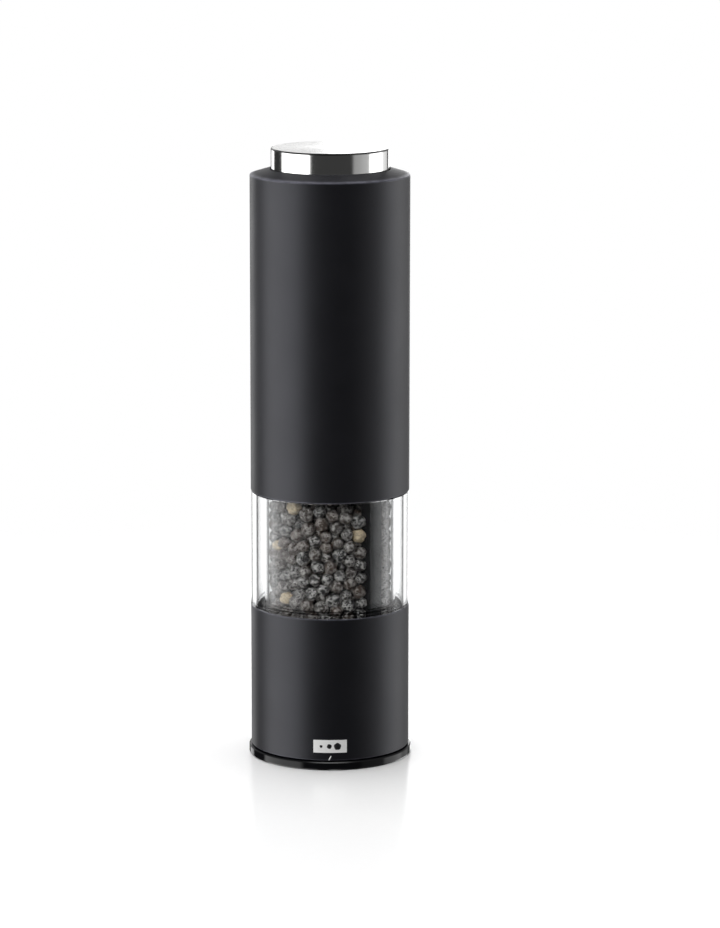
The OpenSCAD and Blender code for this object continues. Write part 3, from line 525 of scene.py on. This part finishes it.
def finishes():
    """A finish for each material slot: name, colour, roughness from and to, grain and its depth."""
    c = colours()
    return {
        "clear": clear_acrylic,
        "spun_steel": spun_steel,
        "cell_jacket": cell_jacket,
        "seal_rubber": lambda: moulded("Seal Rubber", SEAL_BLACK, 0.55, 0.7, 1500.0, 1e-5),
        "frame_black": lambda: moulded("Moulded Black", FRAME_BLACK, 0.32, 0.48, 3200.0, 8e-6),
        "ceramic": lambda: moulded(
            "Fired Ceramic", tuple(c.ceramic), 0.28, 0.42, 1400.0, 5e-6, 0.9, Coat_Weight=0.15
        ),
        "brass": lambda: turned("Turned Brass", BRASS, 0.18, 0.3),
        "duct_black": lambda: moulded(
            "Satin Duct", DUCT_BLACK, 0.30, 0.42, 1800.0, 3e-6, Specular_IOR_Level=0.22
        ),
        "lead_red": lambda: moulded("Red Lead", LEAD_RED, 0.3, 0.42, 2400.0, 3e-6),
        "lead_yellow": lambda: moulded("Yellow Lead", LEAD_YELLOW, 0.3, 0.42, 2400.0, 3e-6),
        "board_green": lambda: moulded("Lacquered Board", BOARD_GREEN, 0.2, 0.32, 2600.0, 4e-6, 0.6),
        "gold_contact": lambda: turned("Plated Contact", GOLD, 0.14, 0.24),
        "steel": lambda: turned("Bright Steel", STEEL, 0.14, 0.26),
        "print_white": lambda: moulded("White Print", PRINT_WHITE, 0.38, 0.5, 4200.0, 2e-6, 0.96),
        "gloss_black": lambda: moulded(
            "Gloss Black", tuple(c.lid), 0.07, 0.13, 700.0, 4e-7, 0.7, Specular_Tint=(0.45, 0.45, 0.45)
        ),
        "shaft_steel": lambda: turned("Drawn Steel", SHAFT_STEEL, 0.22, 0.36),
        "nylon": lambda: moulded("Natural Nylon", tuple(c.nylon), 0.34, 0.46, 2200.0, 4e-6, 0.92),
        "knob_white": lambda: moulded("Satin White", KNOB_WHITE, 0.3, 0.42, 2400.0, 4e-6, 0.95),
        "can_steel": lambda: turned("Zinc Can", ZINC, 0.24, 0.4, 2600.0),
        "ferrite": lambda: moulded("Sintered Ferrite", FERRITE, 0.6, 0.8, 1600.0, 2e-5),
        "switch_grey": lambda: moulded("Switch Grey", SWITCH_GREY, 0.3, 0.44, 2600.0, 5e-6),
        "switch_red": lambda: moulded("Switch Red", SWITCH_RED, 0.25, 0.36, 2600.0, 3e-6),
    }


def black_print():
    """The ink of the badge's grains."""
    return moulded("Black Print", PRINT_BLACK, 0.35, 0.45, 4200.0, 2e-6)


def wear(obj, made):
    """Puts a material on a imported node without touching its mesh."""
    for place in obj.material_slots:
        place.link = "OBJECT"
        place.material = made


MATERIAL_OF = {}  # the material made for each finish so far


def made_of(name, build):
    """A material made once and found again by its slot's name."""
    found = bpy.data.materials.get(MATERIAL_OF.get(name, ""))
    if found is None:
        found = build()
        MATERIAL_OF[name] = found.name
    return found


def piece(name, mesh, body, made):
    """A new object in the scene that rides on a body, or on none if body is None."""
    obj = bpy.data.objects.new(name, mesh)
    bpy.context.scene.collection.objects.link(obj)
    obj.data.materials.append(made)
    for face in obj.data.polygons:
        face.use_smooth = True
    if body is not None:
        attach(obj, body)
    return obj


# ------------------------------------------------------------------ peppercorns

# Pale peppercorns stand near these places on the wall: degrees round from the badge, and height in mm
PALE_SPOTS = ((-40, 92.5), (27, 81.5), (-50, 58.0), (-66, 78.5), (118, 70.0), (200, 84.0), (160, 60.0))
SECTORS = 8  # how many pieces the peppercorns in sight are parted into
SETTLE_ROUNDS = 420
LOOK_AGAIN = 6  # rounds between searches for peppercorns that touch
DROP_ROOM = 45.0  # how far above the bowl the last peppercorn starts, in millimetres
FIRST_DROP = 0.45  # how far a peppercorn falls in the first round, in millimetres
CARRIER_ROOM = 6.5  # how far from the axis the fill may stand beside the output carrier, in millimetres
SHOWN_DEPTH = 6.2  # how deep behind the wall peppercorns are still in sight, in millimetres
SHOWN_TOP = 8.5  # how deep under the fill's top they are, in millimetres
SHRINK = 0.985  # leaves room for the ridges between neighbours
FINE_FORMS = 9
PLAIN_FORMS = 4
PLAIN_SHIFT = 20  # parts the plain forms' seeds from the fine ones'


def points_of(node):
    """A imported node's points, in millimetres."""
    mesh = NODES[node].data
    flat = np.empty(len(mesh.vertices) * 3)
    mesh.vertices.foreach_get("co", flat)
    return flat.reshape(-1, 3) / MM


class Bowl:
    """The space the peppercorns fill, in millimetres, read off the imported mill."""

    THROAT_RISE = 1.6  # the fill's floor above the ceramic ring
    THROAT_LIP = 2.2  # the funnel's mouth inside the ring's outer edge

    def __init__(self):
        bore = points_of("hopper")
        self.wall = float(np.hypot(bore[:, 0], bore[:, 1]).min())
        self.foot = HOPPER_FOOT / MM
        self.top = HOPPER_TOP / MM
        self.shaft = edge("drive_shaft", 0, 1) / MM
        self.hub = edge("shaft_bush", 0, 1) / MM
        self.hub_top = edge("shaft_clip", 2, 1) / MM
        self.throat_z = edge("burr_ring", 2, 1) / MM + self.THROAT_RISE
        self.throat = edge("burr_ring", 0, 1) / MM - self.THROAT_LIP
        duct_low, duct_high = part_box("wire_duct")
        centre = (Vector(duct_low) + Vector(duct_high)) / 2
        self.duct_angle = math.atan2(centre.y, centre.x)
        duct = points_of("wire_duct")
        out = duct[:, 0] * math.cos(self.duct_angle) + duct[:, 1] * math.sin(self.duct_angle)
        side = -duct[:, 0] * math.sin(self.duct_angle) + duct[:, 1] * math.cos(self.duct_angle)
        self.duct_in = float(out.min())
        self.duct_half = float(np.abs(side).max())

    def keep_inside(self, p, r):
        """Moves each centre p, of radius r, back into the bowl."""
        p[:, 2] = np.maximum(p[:, 2], self.throat_z + r)
        share = np.clip((p[:, 2] - self.throat_z) / (self.foot - self.throat_z), 0.0, 1.0)
        wall = self.throat + (self.wall - self.throat) * share - r
        low = self.shaft + r + np.where(p[:, 2] < self.hub_top + r, self.hub - self.shaft, 0.0)
        out = np.hypot(p[:, 0], p[:, 1]) + 1e-9
        p[:, :2] *= (np.clip(out, low, np.maximum(wall, low)) / out)[:, None]
        cos, sin = math.cos(self.duct_angle), math.sin(self.duct_angle)
        u = p[:, 0] * cos + p[:, 1] * sin
        v = -p[:, 0] * sin + p[:, 1] * cos
        into = u - (self.duct_in - r)
        beside = self.duct_half + r - np.abs(v)
        hit = (into > 0) & (beside > 0)
        back = hit & (into <= beside)
        aside = hit & ~back
        u = np.where(back, u - into, u)
        v = np.where(aside, v + np.sign(v) * beside, v)
        p[:, 0] = u * cos - v * sin
        p[:, 1] = u * sin + v * cos


def touching_pairs(p, reach):
    """Index pairs of peppercorns close enough to touch within the next few rounds."""
    near = []
    order = np.argsort(p[:, 2])
    high = p[order, 2]
    for k, i in enumerate(order):
        end = np.searchsorted(high, high[k] + reach)
        others = order[k + 1 : end]
        gap = p[others] - p[i]
        others = others[(gap**2).sum(1) < reach**2]
        near.append(np.stack([np.full(len(others), i), others], axis=1))
    return np.concatenate(near)


def settle(bowl, count, size, spread, rng):
    """Drops spheres into the bowl, where they push each other into place; centres and radii in mm."""
    r = size / 2 * (1 + spread * rng.standard_normal(count).clip(-2, 2))
    angle = rng.uniform(0, 2 * math.pi, count)
    out = np.sqrt(rng.uniform(0.05, 1.0, count)) * (bowl.wall - size / 2)
    high = np.linspace(bowl.throat_z, bowl.top + DROP_ROOM, count)
    p = np.stack([out * np.cos(angle), out * np.sin(angle), high], axis=1)
    for step in range(SETTLE_ROUNDS):
        if step % LOOK_AGAIN == 0:
            i, j = touching_pairs(p, size * 1.5).T
        left = 1 - step / SETTLE_ROUNDS
        p[:, 2] -= FIRST_DROP * left * left
        gap = p[i] - p[j]
        far = np.sqrt((gap**2).sum(1)) + 1e-9
        press = np.clip(r[i] + r[j] - far, 0.0, None)
        push = gap * (press / far / 2)[:, None]
        for axis in range(3):
            p[:, axis] += np.bincount(i, push[:, axis], count) - np.bincount(j, push[:, axis], count)
        bowl.keep_inside(p, r)
    return p, r


def corn_form(index, detail):
    """One wrinkled peppercorn of radius 1: points, faces, and how high each point's ridge is.

    The fine ones also have a small flat where the stalk was.
    """
    bm = bmesh.new()
    bmesh.ops.create_icosphere(bm, subdivisions=detail, radius=1.0)
    shift = Vector((7.3 * index, 3.1 * index, 5.7 * index))
    rise = sizes().wrinkle / (sizes().corn_size / 2)
    ridges = []
    for v in bm.verts:
        p = v.co.copy()
        warp = noise.noise_vector(p * 1.6 + shift) * 0.35
        near = noise.voronoi((p + warp) * 1.9 + shift)[0]
        ridge = 1.0 - min(1.0, (near[1] - near[0]) / 0.34)
        lump = noise.noise(p * 1.3 + shift)
        ridges.append(ridge * ridge * (3 - 2 * ridge))
        v.co = p * (1.0 + 0.05 * lump + rise * (ridges[-1] - 0.75))
    if detail > 2:
        stalk = Vector((0.0, 0.0, 1.0))
        for v in bm.verts:
            v.co *= 1.0 - 0.07 * max(0.0, v.co.normalized().dot(stalk) - 0.86) / 0.14
    points = np.array([v.co for v in bm.verts])
    faces = np.array([[v.index for v in f.verts] for f in bm.faces])
    bm.free()
    return points, faces, np.array(ridges)


def random_turns(count, rng):
    """Rotation matrices spread evenly over all directions."""
    q = rng.standard_normal((count, 4))
    w, x, y, z = (q / np.linalg.norm(q, axis=1)[:, None]).T
    return np.stack(
        [
            1 - 2 * (y * y + z * z), 2 * (x * y - w * z), 2 * (x * z + w * y),
            2 * (x * y + w * z), 1 - 2 * (x * x + z * z), 2 * (y * z - w * x),
            2 * (x * z - w * y), 2 * (y * z + w * x), 1 - 2 * (x * x + y * y),
        ],
        axis=1,
    ).reshape(-1, 3, 3)


def corn_mesh(name, chosen, p, r, turns, forms, pale, tint):
    """One mesh of the chosen peppercorns, with its shade in a colour attribute."""
    points, faces, shades, first = [], [], [], 0
    for i in chosen:
        form, polys, ridges = forms[i % len(forms)]
        points.append((form * r[i]) @ turns[i].T + p[i])
        faces.append(polys + first)
        first += len(form)
        column = np.ones((len(form), 4))
        column[:, 0] = ridges
        column[:, 1] = pale[i]
        column[:, 2] = tint[i]
        shades.append(column)
    points = np.concatenate(points) * MM
    faces = np.concatenate(faces)
    shades = np.concatenate(shades).ravel()
    mesh = bpy.data.meshes.new(name)
    mesh.vertices.add(len(points))
    mesh.vertices.foreach_set("co", points.ravel())
    mesh.loops.add(faces.size)
    mesh.loops.foreach_set("vertex_index", faces.ravel())
    mesh.polygons.add(len(faces))
    mesh.polygons.foreach_set("loop_start", np.arange(0, faces.size, 3))
    mesh.update(calc_edges=True)
    mesh.attributes.new("shade", "FLOAT_COLOR", "POINT").data.foreach_set("color", shades)
    mesh.validate()
    return mesh


class MILL_OT_peppercorns(bpy.types.Operator):
    """Fills the hopper and the funnel with wrinkled peppercorns"""

    bl_idname = "mill.peppercorns"
    bl_label = "Peppercorns"

    def execute(self, context):
        s = sizes()
        rng = np.random.default_rng(SEED)
        bowl = Bowl()
        p, r = settle(bowl, s.corn_count, s.corn_size / MM, s.corn_spread, rng)
        ceiling = bowl.top - s.fill_gap / MM
        under_hub = edge("output_carrier", 2, 0) / MM - s.fill_gap / MM
        out = np.hypot(p[:, 0], p[:, 1])
        fits = (p[:, 2] + r < ceiling) & ((out > CARRIER_ROOM + r) | (p[:, 2] + r < under_hub))
        if not fits.any():
            raise RuntimeError("No peppercorn fits in the hopper")
        p, r, out = p[fits], r[fits], out[fits]
        turns = random_turns(len(p), rng)
        tint = rng.uniform(0, 1, len(p)) ** 2
        pale = np.zeros(len(p))
        for angle, z in PALE_SPOTS:
            a = math.radians(angle - 90)
            spot = np.array([bowl.wall * math.cos(a), bowl.wall * math.sin(a), z])
            pale[np.argmin(((p - spot) ** 2).sum(1))] = 1.0
        skin = made_of("peppercorn", peppercorn_skin)
        fine = [corn_form(i, 3) for i in range(FINE_FORMS)]
        plain = [corn_form(i + PLAIN_SHIFT, 2) for i in range(PLAIN_FORMS)]
        beside = (out > bowl.wall - SHOWN_DEPTH) & (p[:, 2] > bowl.foot)
        shown = beside | (p[:, 2] > bowl.top - SHOWN_TOP)
        sector = ((np.degrees(np.arctan2(p[:, 1], p[:, 0])) + 360) % 360 // (360 / SECTORS)).astype(int)
        for k in range(SECTORS):
            chosen = np.flatnonzero(shown & (sector == k))
            mesh = corn_mesh(f"peppercorns_{k + 1}", chosen, p, r * SHRINK, turns, fine, pale, tint)
            piece(f"peppercorns_{k + 1}", mesh, "base", skin)
        hidden = np.flatnonzero(~shown)
        mesh = corn_mesh("peppercorns_core", hidden, p, r * SHRINK, turns, plain, pale, tint)
        piece("peppercorns_core", mesh, "base", skin)
        return {"FINISHED"}


# ------------------------------------------------------------------ printed marks


def wrap(bm, radius):
    """Bends a flat drawing (X sideways, Z up, Y outwards) round the mill at radius, in metres."""
    for v in bm.verts:
        angle = v.co.x / radius
        out = radius + v.co.y
        v.co = Vector((out * math.sin(angle), -out * math.cos(angle), v.co.z))


def prism(bm, outline, rise):
    """A thin printed patch with a slightly rounded edge: outline is (x, z) pairs in metres."""
    rings = []
    for inset, y in ((0.0, 0.0), (0.0, 0.6 * rise), (0.35 * rise, rise)):
        cx = sum(x for x, _ in outline) / len(outline)
        cz = sum(z for _, z in outline) / len(outline)
        size = max(math.hypot(x - cx, z - cz) for x, z in outline)
        k = 1 - inset / size
        rings.append([bm.verts.new((cx + (x - cx) * k, y, cz + (z - cz) * k)) for x, z in outline])
    for low, high in zip(rings, rings[1:]):
        for i in range(len(outline)):
            j = (i + 1) % len(outline)
            bm.faces.new((low[i], low[j], high[j], high[i]))
    bm.faces.new(list(reversed(rings[-1])))
    bm.faces.new(rings[0])
    bmesh.ops.recalc_face_normals(bm, faces=bm.faces)


def grain_outline(x, z, radius, lumps, steps=40):
    """A round grain with a slightly uneven edge."""
    outline = []
    for i in range(steps):
        turn = 2 * math.pi * i / steps
        uneven = radius * (1 + 0.05 * math.sin(lumps * turn))
        outline.append((x + uneven * math.cos(turn), z + uneven * math.sin(turn)))
    return outline


BADGE_RISE = 0.1 * MM  # the badge's face above the sleeve
BADGE_GRAINS = (0.5 * MM, 0.85 * MM, 1.25 * MM)  # radii, from fine to coarse
FINE_SIDE = 1.1  # how many gaps left of the middle the finest grain stands
TICK_RISE = 0.25 * MM  # the mark's foot above the lower sleeve's edge
TICK_HALF = 0.22 * MM
TICK_LEAN = 0.7 * MM  # how far its head stands to the right of its foot


def printed(name, bm, radius, made):
    """A printed mark: a flat drawing wrapped round the lower sleeve."""
    wrap(bm, radius)
    mesh = bpy.data.meshes.new(name)
    bm.to_mesh(mesh)
    bm.free()
    piece(name, mesh, "base", made)


class MILL_OT_badge_dots(bpy.types.Operator):
    """Prints three grains, from fine to coarse, on the badge"""

    bl_idname = "mill.badge_dots"
    bl_label = "Badge grains"

    def execute(self, context):
        low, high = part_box("badge")
        middle = (low[2] + high[2]) / 2
        bm = bmesh.new()
        for k, radius in enumerate(BADGE_GRAINS):
            aside = (k - FINE_SIDE) * sizes().dot_gap
            prism(bm, grain_outline(aside, middle, radius, 3 + k), sizes().print_rise)
        black = made_of("print_black", black_print)
        printed("badge_grains", bm, SLEEVE_R + BADGE_RISE, black)
        return {"FINISHED"}


class MILL_OT_tick(bpy.types.Operator):
    """Prints the small slanted alignment mark at the foot of the lower sleeve"""

    bl_idname = "mill.tick"
    bl_label = "Alignment mark"

    def execute(self, context):
        foot = BASE_FOOT + TICK_RISE
        head = foot + sizes().tick_length
        left = -TICK_HALF - TICK_LEAN / 2
        right = TICK_HALF - TICK_LEAN / 2
        outline = [(left, foot), (right, foot), (right + TICK_LEAN, head), (left + TICK_LEAN, head)]
        bm = bmesh.new()
        prism(bm, outline, sizes().print_rise)
        white = made_of("print_white", finishes()["print_white"])
        printed("alignment_mark", bm, SLEEVE_R, white)
        return {"FINISHED"}


# ------------------------------------------------------------------ springs

COIL_STEPS = 32  # rings of points in one turn of a spring
WIRE_SIDES = 12
DEAD_TURN = 0.25  # the share of a turn at each end that lies flat


def coil_mesh(name, radius, wire, foot, head, turns):
    """A compression spring of round wire, with flat ends, between two heights."""
    count = turns * COIL_STEPS
    bm = bmesh.new()
    rings = []
    for i in range(count + 1):
        turn = i / COIL_STEPS
        angle = 2 * math.pi * turn
        climb = min(1.0, max(0.0, (turn - DEAD_TURN) / (turns - 2 * DEAD_TURN)))
        height = foot + wire / 2 + (head - foot - wire) * climb
        ring = []
        for k in range(WIRE_SIDES):
            around = 2 * math.pi * k / WIRE_SIDES
            out = radius + wire / 2 * math.cos(around)
            place = (out * math.cos(angle), out * math.sin(angle), height + wire / 2 * math.sin(around))
            ring.append(bm.verts.new(place))
        rings.append(ring)
    for low, high in zip(rings, rings[1:]):
        for k in range(WIRE_SIDES):
            j = (k + 1) % WIRE_SIDES
            bm.faces.new((low[k], low[j], high[j], high[k]))
    bm.faces.new(list(reversed(rings[0])))
    bm.faces.new(rings[-1])
    bmesh.ops.recalc_face_normals(bm, faces=bm.faces)
    mesh = bpy.data.meshes.new(name)
    bm.to_mesh(mesh)
    bm.free()
    return mesh


# Name, imported node it stands for, wire in metres, turns, and the bodies at its foot and its head
SPRINGS = (
    ("press_spring", "button_spring", 0.9 * MM, 5, "sleeve", "button"),
    ("cone_spring", "burr_spring", 0.7 * MM, 4, "cone", "shaft"),
)


class MILL_OT_springs(bpy.types.Operator):
    """Winds the press-top's spring and the cone's spring"""

    bl_idname = "mill.springs"
    bl_label = "Springs"

    def execute(self, context):
        made = made_of("steel", finishes()["steel"])
        for name, node, wire, turns, lower, upper in SPRINGS:
            foot = edge(node, 2, 0)
            head = edge(node, 2, 1)
            radius = edge(node, 0, 1) - wire / 2
            spring = piece(name, coil_mesh(name, radius, wire, foot, head, turns), None, made)
            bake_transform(spring)
            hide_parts(node)
        return {"FINISHED"}


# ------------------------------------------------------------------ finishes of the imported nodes


SHOULDER_DROP = 2.0 * MM  # the upper sleeve's outer edge below its top
SLEEVE_SLOT = "soft_black"


class MILL_OT_sleeves(bpy.types.Operator):
    """Gives both sleeves their soft-touch skin"""

    bl_idname = "mill.sleeves"
    bl_label = "Sleeves"

    def execute(self, context):
        shoulder = SLEEVE_TOP - SHOULDER_DROP
        # Both sleeves get a painted highlight line along the upper sleeve's shoulder edge and along the
        # sleeves' ends.
        wear(NODES["sleeve_shell"], soft_touch("Soft Touch Upper", shoulder, SLEEVE_FOOT))
        wear(NODES["base_sleeve"], soft_touch("Soft Touch Lower", BASE_TOP, BASE_FOOT))
        return {"FINISHED"}


class MILL_OT_packed_finishes(bpy.types.Operator):
    """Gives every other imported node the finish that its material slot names"""

    bl_idname = "mill.packed_finishes"
    bl_label = "Packed parts"

    def execute(self, context):
        builds = finishes()
        for part in frame["record"]["subparts"]:
            slot = part["material_slot"]
            if slot == SLEEVE_SLOT:
                continue
            if slot not in builds:
                raise RuntimeError(f"No finish for the material slot {slot}")
            wear(NODES[part["node"]], made_of(slot, builds[slot]))
        return {"FINISHED"}


# ------------------------------------------------------------------ stage


# The studio round the mill, as (degrees, brightness): 0 is the camera's side and minus is to its left.
# LOW_STUDIO is what upright faces mirror, and HIGH_STUDIO what sloping ones do.
LOW_STUDIO = (
    (-180, 0.03), (-162, 0.03), (-157, 2.0), (-144, 2.0), (-138, 0.03), (-110, 0.03),
    (-104, 3.6), (-46, 3.6), (-36, 0.05), (42, 0.05), (50, 0.40), (80, 0.55),
    (88, 2.6), (118, 2.6), (128, 1.0), (144, 0.8), (152, 0.03), (180, 0.03),
)
HIGH_STUDIO = (
    (-180, 0.86), (-168, 0.86), (-154, 0.45), (-120, 0.35), (-108, 2.4),
    (-46, 2.4), (-30, 0.03), (44, 0.03), (60, 0.35), (84, 1.3),
    (118, 1.4), (140, 0.35), (154, 0.5), (168, 0.86), (180, 0.86),
)
# Heights are the sine of the angle over the horizon. Each pair is where one zone gives way to the next.
GROUND = (-0.28, -0.14)
GROUND_SHARE = 0.6  # brightness of the lowest zone, as a share of LOW_STUDIO
LOW_TO_HIGH = (0.0, 0.08)
HIGH_TO_UPPER = (0.30, 0.42)
UPPER_WALLS = (0.03, 0.25)  # brightness before and behind the mill, and what its sides have more
UPPER_SIDES = (0.3, 0.75)  # where the sides start and are full, on the sine of the turn
UPPER_TO_OVERHEAD = (0.92, 0.97)
OVERHEAD = 5.0
BACKDROP = 1.35  # brightness behind the mill for what passes through its clear tubes
BACKDROP_FROM = (-0.25, 0.1)
SPILL = 0.7  # share of the front lamps that reaches back out through the clear tubes
CORNER_FLAGS = (0.06, 0.86, 0.97)  # how dark, and where on the sine of twice the turn it starts and is full


def studio_round(net, turn, profile):
    """Brightness of the studio by direction round the mill."""
    stops = net.add("ShaderNodeValToRGB", {0: net.ramp(turn, -math.pi, math.pi)})
    ramp = stops.color_ramp
    ramp.interpolation = "EASE"
    brightest = max(level for _, level in profile)
    for index, (angle, level) in enumerate(profile):
        at = (angle + 180) / 360
        stop = ramp.elements[0] if index == 0 else ramp.elements.new(at)
        stop.position = at
        stop.color = (*[level / brightest] * 3, 1.0)
    ramp.elements.remove(ramp.elements[-1])
    return net.math("MULTIPLY", stops.outputs[0], brightest)


def blend_value(net, factor, first, second):
    """A value between two values."""
    keep = net.math("SUBTRACT", 1.0, factor)
    return net.math("ADD", net.math("MULTIPLY", first, keep), net.math("MULTIPLY", second, factor))


def studio_world():
    """White for the camera, and soft boxes left, right and overhead for what the mill mirrors.

    What passes through the clear tubes meets a bright backdrop with a dark flag at each corner behind
    the mill, and a share of the soft boxes on the camera's side.
    """
    world = bpy.data.worlds.new("Studio")
    bpy.context.scene.world = world
    world.use_nodes = True
    net = Net(world.node_tree)
    point = net.add("ShaderNodeTexCoord").outputs["Generated"]
    x, y, z = net.add("ShaderNodeSeparateXYZ", {0: point}).outputs
    turn = net.math("ARCTAN2", x, net.math("MULTIPLY", y, -1.0))
    low = studio_round(net, turn, LOW_STUDIO)
    high = studio_round(net, turn, HIGH_STUDIO)
    ground = net.math("MULTIPLY", low, net.ramp(z, *GROUND, GROUND_SHARE, 1.0))
    sides = blend_value(net, net.ramp(z, *LOW_TO_HIGH, smooth=True), ground, high)
    beside = net.ramp(net.math("ABSOLUTE", net.math("SINE", turn)), *UPPER_SIDES)
    upper = net.math("ADD", UPPER_WALLS[0], net.math("MULTIPLY", beside, UPPER_WALLS[1]))
    lifted = blend_value(net, net.ramp(z, *HIGH_TO_UPPER, smooth=True), sides, upper)
    lit = blend_value(net, net.ramp(z, *UPPER_TO_OVERHEAD, smooth=True), lifted, OVERHEAD)
    dark, start, full = CORNER_FLAGS
    corner = net.math("ABSOLUTE", net.math("SINE", net.math("MULTIPLY", turn, 2.0)))
    flags = net.ramp(corner, start, full, BACKDROP, dark)
    behind = net.ramp(y, *BACKDROP_FROM)
    through = blend_value(net, behind, net.math("MULTIPLY", lit, SPILL), flags)
    path = net.add("ShaderNodeLightPath").outputs
    seen = blend_value(net, path["Is Transmission Ray"], lit, through)
    level = blend_value(net, path["Is Camera Ray"], seen, 1.0)
    background = world.node_tree.nodes["Background"]
    background.inputs["Color"].default_value = (1.0, 1.0, 1.0, 1.0)
    world.node_tree.links.new(level, background.inputs["Strength"])


FLOOR_R = 0.5
FLOOR_FADE = (0.08, 0.42)  # radii between which the floor fades out
CAMERA_PLACE = (0.0, -1.363, 0.367)
CAMERA_DOWN = 10.92  # how far the camera looks down, in degrees
CAMERA_ROLL = -0.075
CAMERA_LEFT = -0.43
LENS = 152.6  # focal length in millimetres
SENSOR = 36.0


def floor_finish():
    """Pale coated board with a faint sheen, fading out into the white round it."""
    made, net, shader = material("Pale Floor", IOR=1.35)
    grain = net.group("Fine Grain", Scale=400.0, Low=0.16, High=0.22, Height=0.0)
    tone = net.group("Mottle", Dark=(0.86, 0.86, 0.865), Light=(0.88, 0.88, 0.88), Scale=6.0)
    _, (x, y, _) = net.place()
    fade = net.ramp(net.from_axis(x, y), *FLOOR_FADE, 1.0, 0.0, smooth=True)
    wire(net, shader, Base_Color=tone["Color"], Roughness=grain["Roughness"], Alpha=fade)
    return made


def lay_floor():
    """A round floor that only the camera sees, with no bounce of light from it."""
    bm = bmesh.new()
    bmesh.ops.create_circle(bm, cap_ends=True, cap_tris=True, segments=64, radius=FLOOR_R)
    mesh = bpy.data.meshes.new("floor")
    bm.to_mesh(mesh)
    bm.free()
    floor = bpy.data.objects.new("floor", mesh)
    bpy.context.scene.collection.objects.link(floor)
    floor.data.materials.append(floor_finish())
    floor.visible_transmission = False
    floor.visible_glossy = False
    floor.visible_diffuse = False


def disk_lamp(name, width, energy, place, aim=None):
    """A round lamp that shows in no reflection, and points straight down unless it is aimed."""
    data = bpy.data.lights.new(name, "AREA")
    data.shape = "DISK"
    data.size = width
    data.energy = energy
    lamp = bpy.data.objects.new(name, data)
    lamp.location = place
    if aim is not None:
        towards = Vector(aim) - lamp.location
        lamp.rotation_euler = towards.to_track_quat("-Z", "Y").to_euler()
    lamp.visible_glossy = False
    bpy.context.scene.collection.objects.link(lamp)


def place_camera():
    """The camera, in front of the mill and a little above it."""
    camera = bpy.data.objects.new("camera", bpy.data.cameras.new("camera"))
    camera.data.sensor_width = SENSOR
    camera.data.lens = LENS
    camera.data.clip_start = 0.05
    camera.location = CAMERA_PLACE
    camera.rotation_euler = [math.radians(turn) for turn in (90 - CAMERA_DOWN, CAMERA_ROLL, CAMERA_LEFT)]
    bpy.context.scene.collection.objects.link(camera)
    bpy.context.scene.camera = camera


class MILL_OT_stage(bpy.types.Operator):
    """Sets up the floor, the light and the camera"""

    bl_idname = "mill.stage"
    bl_label = "Stage"

    def execute(self, context):
        context.scene.view_settings.view_transform = "Standard"
        lay_floor()
        studio_world()
        disk_lamp("overhead", 0.9, 9.0, (-0.15, 0.25, 1.25))
        disk_lamp("front_fill", 0.5, 4.5, (-0.35, -1.05, 0.55), aim=(0.0, 0.0, 0.09))
        place_camera()
        return {"FINISHED"}


class MILL_PT_panel(bpy.types.Panel):
    """Lists the steps that dress the mill"""

    bl_label = "Pepper Mill"
    bl_idname = "MILL_PT_panel"
    bl_space_type = "VIEW_3D"
    bl_region_type = "UI"
    bl_category = "Mill"

    def draw(self, context):
        for step in STEPS:
            self.layout.operator(step.bl_idname)
        for group in (context.scene.mill_sizes, context.scene.mill_colours):
            for key in group.__annotations__:
                self.layout.prop(group, key)


STEPS = (
    MILL_OT_packed_finishes,
    MILL_OT_sleeves,
    MILL_OT_peppercorns,
    MILL_OT_badge_dots,
    MILL_OT_tick,
    MILL_OT_springs,
    MILL_OT_stage,
)
CLASSES = (MillSizes, MillColours, *STEPS, MILL_PT_panel)


def register():
    """Registers the classes and gives the scene its sizes and colours."""
    for cls in CLASSES:
        bpy.utils.register_class(cls)
    bpy.types.Scene.mill_sizes = PointerProperty(type=MillSizes)
    bpy.types.Scene.mill_colours = PointerProperty(type=MillColours)


def unregister():
    """Takes away what register adds."""
    del bpy.types.Scene.mill_sizes
    del bpy.types.Scene.mill_colours
    for cls in reversed(CLASSES):
        bpy.utils.unregister_class(cls)


def main():
    """Dresses the mill, one step after another."""
    register()
    build_groups()
    for step in STEPS:
        group, name = step.bl_idname.split(".")
        getattr(getattr(bpy.ops, group), name)()


if __name__ == "__main__":
    main()
